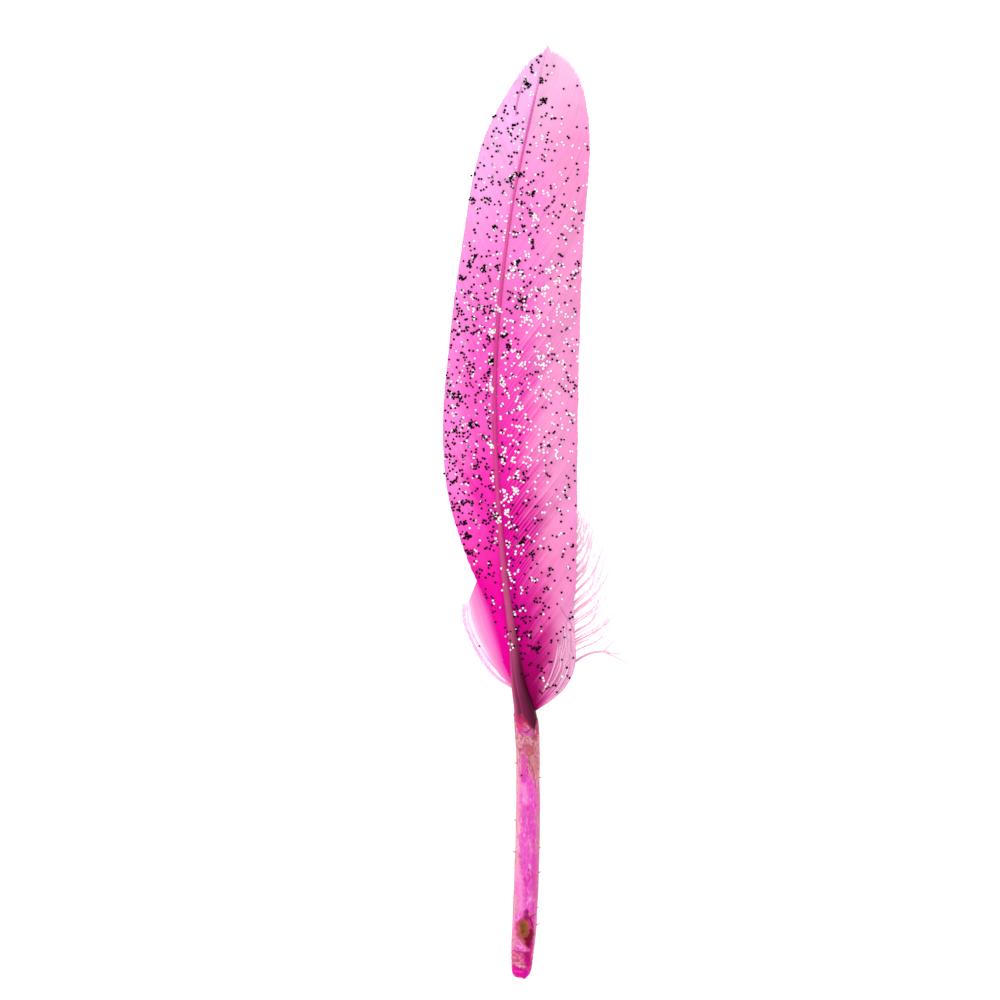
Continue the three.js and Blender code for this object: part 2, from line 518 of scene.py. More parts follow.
@dataclass(frozen=True)
class Hairs:
    """Fine hairs that leave the strands of a tuft of down between two of their stations."""

    count: int
    stations_from: tuple[int, int]
    lean: Span
    reach: Span
    radius: Span
    taper: float
    pale: Span
    cell: Cell
    rows: int
    stations: int = 6
    sides: int = 3
    bend: float = 0.4
    lift: Span = (-0.1, 0.25)
    lowest: float = 0.03

    def grow(self, sheaf: MeshSheaf, lines: Array, rng: np.random.Generator) -> None:
        """Adds the hairs.

        Args:
            sheaf: The mesh that grows.
            lines: The strands' middle lines.
            rng: The source of chance.
        """
        which = rng.integers(0, len(lines), self.count)
        at = rng.integers(*self.stations_from, self.count)
        base = lines[which, at]
        ahead = base - lines[which, at - 1]
        heading = np.arctan2(ahead[:, 0], ahead[:, 1]) + np.radians(rng.normal(*self.lean, self.count))
        paths = self._paths(base, heading, rng.uniform(*self.reach, self.count), rng)
        radii = rng.uniform(*self.radius, (self.count, 1)) * np.linspace(1.0, self.taper, self.stations)
        each = (self.count, 1, 1)
        low, high = self.pale
        pale = rng.uniform(low, high, each) if low < high else np.full(each, low)
        values = {"pale": pale, "tone": rng.random(each)}
        sheaf.add(tubes(paths, radii, self.sides), values, self.cell, self.rows)

    def _paths(self, base: Array, heading: Array, reach: Array, rng: np.random.Generator) -> Array:
        """The hairs' middle lines, which bend as they go.

        Args:
            base: Where they start.
            heading: Their angles from +Y towards +X, in radians.
            reach: Their lengths.
            rng: The source of chance.

        Returns:
            The lines, as hairs, stations, xyz.
        """
        steps = np.linspace(0.0, 1.0, self.stations)[None, :, None]
        bend = heading + rng.normal(0.0, self.bend, self.count)
        out = headings(heading, 1.0)[:, None, :] * steps * (1.0 - 0.5 * steps)
        out = out + headings(bend, 1.0)[:, None, :] * 0.5 * steps ** 2
        paths = np.repeat(base[:, None, :], self.stations, axis=1)
        paths[..., :2] += out * reach[:, None, None]
        lift = rng.uniform(*self.lift, (self.count, 1)) * steps[..., 0]
        paths[..., 2] = np.maximum(paths[..., 2] + lift, self.lowest)
        return paths


Stops = tuple[tuple[float, Dye], ...]


@dataclass(frozen=True)
class Step:
    """A soft step of a number: it gives start below low and end above high."""

    low: float
    high: float
    start: float = 0.0
    end: float = 1.0


@dataclass(frozen=True)
class Clouds:
    """Cloudy noise: clouds to the metre, the scale of each axis, and how many finer layers it has."""

    scale: float
    stretch: tuple[float, float, float] = (1.0, 1.0, 1.0)
    detail: float = 3.0


@dataclass
class Wiring:
    """Adds and links the nodes of one material or node group."""

    tree: bpy.types.NodeTree

    def node(self, kind: str, **settings: object) -> bpy.types.Node:
        """Adds a node.

        Args:
            kind: Its type.
            settings: Its options.

        Returns:
            The node.
        """
        made = self.tree.nodes.new(kind)
        for key, value in settings.items():
            setattr(made, key, value)
        return made

    def feed(self, socket: Socket, value: object) -> None:
        """Links a socket, or sets its own value.

        Args:
            socket: The input.
            value: Another socket, or a value.
        """
        if isinstance(value, bpy.types.NodeSocket):
            self.tree.links.new(value, socket)
        else:
            socket.default_value = value

    def attribute(self, name: str) -> Socket:
        """Reads a number that the mesh carries."""
        return self.node("ShaderNodeAttribute", attribute_name=name).outputs["Fac"]

    def maths(self, operation: str, *numbers: object) -> Socket:
        """Works out one number from others.

        Args:
            operation: What is done.
            numbers: Sockets or plain numbers.

        Returns:
            The result.
        """
        made = self.node("ShaderNodeMath", operation=operation)
        for socket, number in zip(made.inputs, numbers):
            self.feed(socket, number)
        return made.outputs[0]

    def times(self, first: object, second: object) -> Socket:
        """Multiplies two numbers."""
        return self.maths("MULTIPLY", first, second)

    def plus(self, first: object, second: object) -> Socket:
        """Adds two numbers."""
        return self.maths("ADD", first, second)

    def minus(self, first: object, second: object) -> Socket:
        """Takes the second number from the first."""
        return self.maths("SUBTRACT", first, second)

    def larger(self, first: object, second: object) -> Socket:
        """The larger of two numbers."""
        return self.maths("MAXIMUM", first, second)

    def size(self, number: object) -> Socket:
        """A number without its sign."""
        return self.maths("ABSOLUTE", number)

    def swing(self, number: object, amount: float) -> Socket:
        """Turns a number from 0 to 1 into one that swings round 0."""
        return self.times(self.minus(number, 0.5), amount)

    def step(self, value: object, step: Step) -> Socket:
        """Eases a number over a step.

        Args:
            value: The number.
            step: The step.

        Returns:
            The eased number.
        """
        made = self.node("ShaderNodeMapRange", interpolation_type="SMOOTHSTEP")
        for name, number in (("Value", value), ("From Min", step.low), ("From Max", step.high),
                             ("To Min", step.start), ("To Max", step.end)):
            self.feed(made.inputs[name], number)
        return made.outputs["Result"]

    def ramp(self, factor: Socket, stops: Stops) -> Socket:
        """A colour ramp between dyes.

        Args:
            factor: Where the ramp is read.
            stops: Places from 0 to 1, each with its dye.

        Returns:
            The ramp's colour.
        """
        made = self.node("ShaderNodeValToRGB")
        elements = made.color_ramp.elements
        while len(elements) < len(stops):
            elements.new(0.5)
        for element, (place, dye) in zip(elements, stops):
            element.position = place
            element.color = dye.rgba
        self.feed(made.inputs["Fac"], factor)
        return made.outputs["Color"]

    def mix(self, factor: object, first: object, second: object) -> Socket:
        """Blends two colours.

        Args:
            factor: The share of the second colour.
            first: A dye or a socket.
            second: The same.

        Returns:
            The blended colour.
        """
        made = self.node("ShaderNodeMix", data_type="RGBA")
        self.feed(made.inputs[0], factor)
        for at, colour in zip(MIX_COLOURS, (first, second)):
            self.feed(made.inputs[at], colour.rgba if isinstance(colour, Dye) else colour)
        return made.outputs[MIX_RESULT]

    def noise(self, clouds: Clouds) -> Socket:
        """Cloudy noise from 0 to 1 over the object's own places.

        Args:
            clouds: How the noise looks.

        Returns:
            The noise.
        """
        places = self.node("ShaderNodeTexCoord").outputs["Object"]
        mapped = self.node("ShaderNodeMapping")
        self.feed(mapped.inputs["Vector"], places)
        mapped.inputs["Scale"].default_value = clouds.stretch
        made = self.node("ShaderNodeTexNoise")
        self.feed(made.inputs["Vector"], mapped.outputs["Vector"])
        made.inputs["Scale"].default_value = clouds.scale
        made.inputs["Detail"].default_value = clouds.detail
        return made.outputs["Fac"]

    def place_group(self, group: bpy.types.NodeTree, **inputs: object) -> bpy.types.Node:
        """Places a node group with its own values.

        Args:
            group: The group.
            inputs: What its inputs get.

        Returns:
            The group's node.
        """
        made = self.node("ShaderNodeGroup", node_tree=group)
        for name, value in inputs.items():
            self.feed(made.inputs[name], value)
        return made


@dataclass
class SharedEffects:
    """The node groups that several finishes use, each built once."""

    clouds: Clouds = Clouds(300.0)
    cloud_share: float = 0.6
    strand_share: float = 0.4
    dye_drift: bpy.types.NodeTree = field(init=False)

    def __post_init__(self) -> None:
        """Builds the groups."""
        self.dye_drift = self._dye_drift()

    def _dye_drift(self) -> bpy.types.NodeTree:
        """Uneven dye: a colour that gets paler and deeper in soft clouds and from strand to strand.

        Returns:
            The node group.
        """
        tree = bpy.data.node_groups.new("Dye drift", "ShaderNodeTree")
        for name, way, kind in (("Color", "INPUT", "Color"), ("Tone", "INPUT", "Float"),
                                ("Amount", "INPUT", "Float"), ("Color", "OUTPUT", "Color")):
            tree.interface.new_socket(name=name, in_out=way, socket_type="NodeSocket" + kind)
        wiring = Wiring(tree)
        given = wiring.node("NodeGroupInput").outputs
        cloud = wiring.times(wiring.noise(self.clouds), self.cloud_share)
        strand = wiring.times(given["Tone"], self.strand_share)
        push = wiring.times(wiring.minus(wiring.plus(cloud, strand), 0.5), given["Amount"])
        scaled = wiring.node("ShaderNodeVectorMath", operation="SCALE")
        wiring.feed(scaled.inputs[0], given["Color"])
        wiring.feed(scaled.inputs["Scale"], wiring.plus(push, 1.0))
        wiring.feed(wiring.node("NodeGroupOutput").inputs["Color"], scaled.outputs["Vector"])
        return tree


@dataclass
class Paint(Wiring):
    """The wiring of one material, which ends in its shader."""

    shader: bpy.types.Node
    dye_drift: bpy.types.NodeTree

    def dye(self, colour: Socket, drift: float, tone: object = 0.5) -> None:
        """Feeds a colour to the shader through the uneven dye.

        Args:
            colour: The even colour.
            drift: How uneven it gets.
            tone: The strand's own tone from 0 to 1.
        """
        drifted = self.place_group(self.dye_drift, Color=colour, Tone=tone, Amount=drift)
        self.feed(self.shader.inputs["Base Color"], drifted.outputs["Color"])

    def bump(self, height: Socket, depth: float) -> None:
        """Roughens the surface.

        Args:
            height: The height from 0 to 1.
            depth: What a height of 1 stands for, in millimetres.
        """
        made = self.node("ShaderNodeBump")
        made.inputs["Strength"].default_value = 1.0
        made.inputs["Distance"].default_value = depth / METRE
        self.feed(made.inputs["Height"], height)
        self.feed(self.shader.inputs["Normal"], made.outputs["Normal"])


@dataclass(frozen=True)
class Finish:
    """A surface: constant numbers sit on the shader, colours come from nodes."""

    name: str
    roughness: float = 0.6
    specular: float = 0.1
    drift: float = 0.4

    def material(self, effects: SharedEffects) -> bpy.types.Material:
        """Builds the material.

        Args:
            effects: The shared node groups.

        Returns:
            The material.
        """
        material = bpy.data.materials.new(self.name)
        material.use_nodes = True
        shader = material.node_tree.nodes["Principled BSDF"]
        shader.inputs["Roughness"].default_value = self.roughness
        shader.inputs["Specular IOR Level"].default_value = self.specular
        self.colour(Paint(material.node_tree, shader, effects.dye_drift))
        return material

    def colour(self, wiring: Paint) -> None:
        """Wires the colours to the shader, in each kind of finish its own way."""
        raise NotImplementedError


@dataclass(frozen=True)
class VaneFinish(Finish):
    """Dyed barbs: deep pink beside the shaft, paler at the margin and the tip, with a painted highlight along
    the barbs' raised ridges.

    Each step reads the share of the feather's length, of the vane's width or of the barb's own length.
    """

    inner: Stops = ()
    outer: Stops = ()
    fade: Step = Step(0.1, 0.65)
    clouds: Clouds = Clouds(420.0, detail=2.0)
    cloud_reach: float = 0.25
    barb_reach: float = 0.3
    margin: Step = Step(0.5, 0.9, 0.0, 0.0)
    margin_below: Step = Step(0.36, 0.5, 1.0, 0.0)
    # Strength of the painted highlight along each barb's ridge.
    ridge_highlight: float = 0.3
    ridge_inside: Step = Step(0.02, 0.35, 0.12, 1.0)
    ridge_outside: Step = Step(0.72, 0.95, 1.0, 0.3)
    ridge_above: Step = Step(0.35, 0.5, 0.08, 1.0)
    tip_from: Step = Step(0.955, 0.995)
    tip_white: Step = Step(0.7, 1.0, 0.0, 0.2)
    rim: Step = Step(0.985, 0.995, 0.0, 0.0)
    rim_from: Step = Step(0.4, 0.46)
    rim_until: Step = Step(0.62, 0.7, 1.0, 0.0)
    crease: Dye = Dye.HEATHER
    grain: Clouds = Clouds(9000.0, detail=1.0)
    grain_depth: float = 0.015

    def colour(self, wiring: Paint) -> None:
        """Wires the colours to the shader.

        Args:
            wiring: The material's wiring.
        """
        station = wiring.attribute("station")
        share = wiring.attribute("share")
        along = wiring.attribute("along")
        tone = wiring.attribute("tone")
        uneven = wiring.swing(wiring.noise(self.clouds), self.cloud_reach)
        reach = wiring.plus(share, wiring.plus(uneven, wiring.swing(tone, self.barb_reach)))
        inner = wiring.ramp(station, self.inner)
        outer = wiring.ramp(station, self.outer)
        dyed = wiring.mix(wiring.step(reach, self.fade), inner, outer)
        edge = wiring.times(wiring.step(share, self.margin), wiring.step(station, self.margin_below))
        dyed = wiring.mix(edge, dyed, Dye.BLUSH)
        # Painted highlight along each barb's raised ridge.
        ridge = wiring.times(wiring.attribute("ridge"), self.ridge_highlight)
        for place, step in (
            (share, self.ridge_inside), (share, self.ridge_outside), (station, self.ridge_above),
        ):
            ridge = wiring.times(ridge, wiring.step(place, step))
        lit = wiring.mix(ridge, dyed, Dye.BLUSH)
        tip = wiring.times(wiring.step(station, self.tip_from), wiring.step(along, self.tip_white))
        faded = wiring.mix(wiring.larger(tip, wiring.attribute("faded")), lit, Dye.WHITE)
        low = wiring.times(wiring.step(station, self.rim_from), wiring.step(station, self.rim_until))
        marks = wiring.larger(wiring.times(low, wiring.step(along, self.rim)), wiring.attribute("mark"))
        wiring.dye(wiring.mix(marks, faded, self.crease), self.drift, tone)
        wiring.bump(wiring.noise(self.grain), self.grain_depth)


@dataclass(frozen=True)
class DownFinish(Finish):
    """Downy strands: pink at the root, nearly white at the tips, with a painted glow, strongest on the palest
    parts, in place of light coming through them.
    """

    stops: Stops = ()
    # Strength of the painted glow.
    painted_glow: float = 0.3
    glow_by_pale: Step = Step(0.55, 0.95, 0.2, 1.0)

    def colour(self, wiring: Paint) -> None:
        """Wires the colours to the shader.

        Args:
            wiring: The material's wiring.
        """
        pale = wiring.attribute("pale")
        colour = wiring.ramp(pale, self.stops)
        wiring.dye(colour, self.drift, wiring.attribute("tone"))
        # Painted glow: the palest parts emit their own colour, in place of light coming through them.
        glow_by_pale = wiring.mix(wiring.step(pale, self.glow_by_pale), Dye.SOOT, colour)
        wiring.feed(wiring.shader.inputs["Emission Color"], glow_by_pale)
        wiring.shader.inputs["Emission Strength"].default_value = self.painted_glow


@dataclass(frozen=True)
class Mark:
    """A line or lozenge of another colour on the quill, through places beside and along the feather.

    A ripple of its torn outline is a size, a pace along y, a pace along x and a phase.
    """

    dye: Dye
    half_width: float
    path: Guides
    strength: float = 0.8
    soft: float = 0.6
    wander: float = 0.5
    tear: float = 0.1
    sideways: tuple[tuple[float, float, float, float], ...] = (
        (1.0, 7.1, 3.3, 0.0), (0.6, 13.7, -9.2, 1.3), (0.4, 23.0, 17.0, 0.0),
    )
    lengthways: tuple[tuple[float, float, float, float], ...] = (
        (1.0, -5.9, 8.3, 2.1), (0.6, 11.3, 15.1, 0.0), (0.4, -19.0, 27.0, 0.0),
    )

    def mask(self, x: Array, y: Array) -> Array:
        """How strongly the mark shows, with a torn outline.

        Args:
            x: Places beside the feather's axis.
            y: Distances from the cut end.

        Returns:
            The strength from 0 to 1 at each place.
        """
        sway, drift = (
            sum(size * np.sin(far * y + beside * x + phase) for size, far, beside, phase in ripples)
            for ripples in (self.sideways, self.lengthways)
        )
        torn = self.tear * self.wander
        place = np.stack([x + torn * sway, y + torn * drift], axis=-1)
        gap = np.full(x.shape, np.inf)
        for start, end in zip(np.array(self.path), np.array(self.path[1:])):
            along = end - start
            share = np.clip((place - start) @ along / (along @ along), 0.0, 1.0)
            gap = np.minimum(gap, np.linalg.norm(place - start - share[..., None] * along, axis=-1))
        return self.strength * (1.0 - smoothstep(gap, self.half_width * (1.0 - self.soft), self.half_width))


@dataclass(frozen=True)
class ShaftFinish(Finish):
    """Horn: a mottled quill with stains and a dried film, a plum junction and a mauve rachis, with painted
    light on the rachis's left, painted shade on its right and on the quill's right wall, and a painted
    highlight line along the rachis.

    Places across the shaft run from -1 at its left side to 1 at its right. Distances are from the cut end.
    """

    rachis: Stops = ()
    film: Stops = (
        (0.4, Dye.DEEP_ORCHID), (0.47, Dye.ORCHID), (0.53, Dye.ORCHID), (0.62, Dye.PALE_ORCHID),
    )
    wall: Stops = ((0.36, Dye.BRICK), (0.46, Dye.SALMON), (0.54, Dye.SALMON), (0.64, Dye.CREAM))
    skin: Stops = ((0.36, Dye.ROSEWOOD), (0.45, Dye.BRICK), (0.54, Dye.TAN), (0.66, Dye.SALMON))
    folds: Stops = ((0.34, Dye.BERRY), (0.46, Dye.RASPBERRY), (0.56, Dye.EMBER), (0.72, Dye.SALMON))
    clouds: Clouds = Clouds(520.0, (1.0, 0.5, 1.0), 4.0)
    streaks: Clouds = Clouds(2600.0, (1.0, 0.4, 1.0), 5.0)
    grain: Clouds = Clouds(3000.0, (1.0, 0.6, 1.0), 6.0)
    flecks: Clouds = Clouds(4200.0, detail=1.0)
    end_grain: Clouds = Clouds(2200.0, detail=4.0)
    fraying: Clouds = Clouds(1500.0)
    pits: Clouds = Clouds(2600.0, (1.0, 0.15, 1.0))
    pit_depth: float = 0.04
    window: Step = Step(0.0, 1.0, 1.0, 0.7)
    side_brick: Step = Step(0.9, 1.0, 0.0, 0.6)
    burr_smoke: Step = Step(1.05, 1.2, 0.0, 0.7)
    cloud_sway: float = 1.3
    grain_sway: float = 1.0
    left_wall: Step = Step(-0.74, -0.42, 0.95, 0.0)
    left_widens: Step = Step(15.0, 24.0, 0.2, 0.0)
    right_wall: Step = Step(0.5, 0.9, 0.0, 0.85)
    # How far the quill's right wall turns berry: painted shade.
    right_wall_shade: float = 0.55
    fleck: Step = Step(0.64, 0.7, 0.0, 0.5)
    fleck_flanks: Step = Step(0.4, 0.7, 0.1, 1.0)
    skin_slant: float = 3.0
    skin_sway: float = 6.0
    skin_from: Step = Step(33.6, 36.0, 0.0, 0.9)
    end_slant: float = 0.35
    end_sway: float = 1.2
    folds_below: Step = Step(4.2, 5.2, 0.9, 0.0)
    rim_below: Step = Step(1.8, 2.2, 1.0, 0.0)
    tongue_from: float = 0.4
    tongue_slope: float = 1.25
    tongue_to: float = 2.4
    tongue_back: float = 6.0
    tongue_fray: float = 0.8
    horn_from: Step = Step(42.9, 44.4)
    # Painted light on the rachis's left, painted shade on its right and a painted highlight line along it.
    painted_light_left: Step = Step(-1.0, -0.5, 1.0, 0.0)
    painted_light_along: Step = Step(52.0, 60.0, 1.0, 0.2)
    painted_shade_right: Step = Step(-0.15, 0.8)
    painted_shade_along: Step = Step(48.0, 62.0, 0.95, 0.2)
    highlight_place: float = 0.25
    highlight_width: Step = Step(0.0, 0.12, 1.0, 0.0)
    highlight_along: Step = Step(45.0, 49.0, 0.05, 0.12)

    def colour(self, wiring: Paint) -> None:
        """Wires the colours to the shader.

        Args:
            wiring: The material's wiring.
        """
        distance = wiring.attribute("distance")
        across = wiring.attribute("across")
        colour = self._cut_end(wiring, distance, across, self._film(wiring, distance, across))
        # The marks: stains, folds and cracks, with painted shade and a painted highlight line at the cut end.
        tint = wiring.node("ShaderNodeCombineColor")
        for channel in ("Red", "Green", "Blue"):
            wiring.feed(tint.inputs[channel], wiring.attribute(f"stain_{channel.lower()}"))
        colour = wiring.mix(wiring.attribute("marks_and_painted_light"), colour, tint.outputs["Color"])
        colour = wiring.mix(wiring.step(wiring.size(across), self.side_brick), colour, Dye.BRICK)
        horn = self._horn(wiring, distance, wiring.attribute("beside"))
        colour = wiring.mix(horn, colour, self._rachis(wiring, distance, across))
        burr = wiring.step(wiring.size(across), self.burr_smoke)
        wiring.dye(wiring.mix(burr, colour, Dye.SMOKE), self.drift)
        wiring.feed(wiring.shader.inputs["Alpha"], wiring.step(wiring.attribute("window"), self.window))
        wiring.bump(wiring.noise(self.pits), self.pit_depth)

    def _film(self, wiring: Paint, distance: Socket, across: Socket) -> Socket:
        """The dyed film of the bare quill between its paler, speckled walls, and the dried skin at its top.

        Args:
            wiring: The material's wiring.
            distance: Millimetres from the cut end.
            across: Place across the quill.

        Returns:
            The colour.
        """
        cloud = wiring.noise(self.clouds)
        streak = wiring.noise(self.streaks)
        grain = wiring.noise(self.grain)
        film = wiring.ramp(wiring.plus(wiring.times(cloud, 0.5), wiring.times(streak, 0.5)), self.film)
        wall = wiring.ramp(grain, self.wall)
        wander = wiring.plus(wiring.swing(cloud, self.cloud_sway), wiring.swing(grain, self.grain_sway))
        bent = wiring.plus(across, wander)
        low = wiring.plus(bent, wiring.step(distance, self.left_widens))
        quill = wiring.mix(wiring.step(low, self.left_wall), film, wall)
        # The right wall gets a berry tint as painted shade.
        right = wiring.mix(self.right_wall_shade, wall, Dye.BERRY)
        quill = wiring.mix(wiring.step(bent, self.right_wall), quill, right)
        fleck = wiring.step(wiring.noise(self.flecks), self.fleck)
        flank = wiring.step(wiring.size(across), self.fleck_flanks)
        quill = wiring.mix(wiring.times(fleck, flank), quill, Dye.SMOKE)
        slant = wiring.plus(distance, wiring.times(across, self.skin_slant))
        slant = wiring.plus(slant, wiring.swing(grain, self.skin_sway))
        return wiring.mix(wiring.step(slant, self.skin_from), quill, wiring.ramp(grain, self.skin))

    def _cut_end(self, wiring: Paint, distance: Socket, across: Socket, colour: Socket) -> Socket:
        """The wrinkled, bright magenta cut end.

        Args:
            wiring: The material's wiring.
            distance: Millimetres from the cut end.
            across: Place across the quill.
            colour: The colour above it.

        Returns:
            The colour.
        """
        grain = wiring.noise(self.end_grain)
        slant = wiring.plus(distance, wiring.times(across, self.end_slant))
        slant = wiring.plus(slant, wiring.swing(grain, self.end_sway))
        shown = wiring.mix(wiring.step(slant, self.folds_below), colour, wiring.ramp(grain, self.folds))
        return wiring.mix(wiring.step(slant, self.rim_below), shown, Dye.MAGENTA)

    def _horn(self, wiring: Paint, distance: Socket, beside: Socket) -> Socket:
        """Where the rachis covers the quill: down to a slanting, frayed tongue.

        Args:
            wiring: The material's wiring.
            distance: Millimetres from the cut end.
            beside: Millimetres across the feather.

        Returns:
            The mask from 0 to 1.
        """
        over = wiring.larger(wiring.minus(beside, self.tongue_from), 0.0)
        wall = wiring.larger(wiring.minus(beside, self.tongue_to), 0.0)
        level = wiring.plus(distance, wiring.times(over, self.tongue_slope))
        level = wiring.minus(level, wiring.times(wall, self.tongue_back))
        fray = wiring.swing(wiring.noise(self.fraying), self.tongue_fray)
        return wiring.step(wiring.plus(level, fray), self.horn_from)

    def _rachis(self, wiring: Paint, distance: Socket, across: Socket) -> Socket:
        """The rachis: painted light on its left near the quill, painted shade on its right, and a faint
        painted highlight line along it.

        Args:
            wiring: The material's wiring.
            distance: Millimetres from the cut end.
            across: Place across the shaft.

        Returns:
            The colour.
        """
        shown = wiring.ramp(wiring.attribute("station"), self.rachis)
        # Painted light on the left, painted shade on the right and a painted highlight line near the middle.
        line = wiring.size(wiring.plus(across, self.highlight_place))
        for place, width, length, dye in (
            (across, self.painted_light_left, self.painted_light_along, Dye.DUSKY),
            (across, self.painted_shade_right, self.painted_shade_along, Dye.DARK_PLUM),
            (line, self.highlight_width, self.highlight_along, Dye.SALMON),
        ):
            cover = wiring.times(wiring.step(place, width), wiring.step(distance, length))
            shown = wiring.mix(cover, shown, dye)
        return shown


@dataclass(frozen=True)
class PithFinish(Finish):
    """Dry pith: rust and umber folds with dark cracks, with painted shade in dark red on its right."""

    folds: Clouds = Clouds(1500.0, (1.0, 0.5, 1.0), 4.0)
    fold_depth: float = 0.15
    stops: Stops = ((0.38, Dye.UMBER), (0.5, Dye.RUST), (0.6, Dye.TAN))
    cracks: Clouds = Clouds(900.0, (1.0, 0.7, 1.0), 2.0)
    crack: Step = Step(0.004, 0.02, 1.0, 0.0)
    # Where the pith turns dark red on its right: painted shade.
    tint: Step = Step(0.1, 0.8)

    def colour(self, wiring: Paint) -> None:
        """Wires the colours to the shader.

        Args:
            wiring: The material's wiring.
        """
        folds = wiring.noise(self.folds)
        colour = wiring.ramp(folds, self.stops)
        line = wiring.size(wiring.minus(wiring.noise(self.cracks), 0.5))
        cracked = wiring.mix(wiring.step(line, self.crack), colour, Dye.OXBLOOD)
        # Dark red on the right side: painted shade.
        marks_and_painted_light = wiring.mix(wiring.step(wiring.attribute("across"), self.tint), cracked, Dye.OXBLOOD)
        wiring.dye(marks_and_painted_light, self.drift)
        wiring.bump(folds, self.fold_depth)


@dataclass(frozen=True)
class GlitterFinish(Finish):
    """Glitter: silver flakes, painted black where they would reflect the dark, silver where they would
    reflect the light and grey between, and smoother the brighter they are.
    """

    stops: Stops = ((0.0, Dye.SOOT), (0.2, Dye.SOOT), (0.8, Dye.SILVER), (1.0, Dye.SILVER))
    smoothness: Step = Step(0.0, 1.0, 0.6, 0.3)

    def colour(self, wiring: Paint) -> None:
        """Wires the colours to the shader.

        Args:
            wiring: The material's wiring.
        """
        # The painted reflection: black for the dark, silver for the light.
        painted_reflection = wiring.attribute("painted_reflection")
        wiring.feed(wiring.shader.inputs["Base Color"], wiring.ramp(painted_reflection, self.stops))
        wiring.feed(wiring.shader.inputs["Roughness"], wiring.step(painted_reflection, self.smoothness))


def dress(piece: bpy.types.Object, material: bpy.types.Material, slot: str, *nodes: str) -> None:
    """Gives a piece its finish and its place in the frame.

    Args:
        piece: The new object.
        material: Its finish.
        slot: The record's material slot; not used.
        nodes: The solids that it stands for.
    """
    piece.data.materials.append(material)
    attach(piece, BODY)
    if nodes:
        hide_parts(*nodes)
    LOG.info("%s: %d faces", piece.name, len(piece.data.polygons))


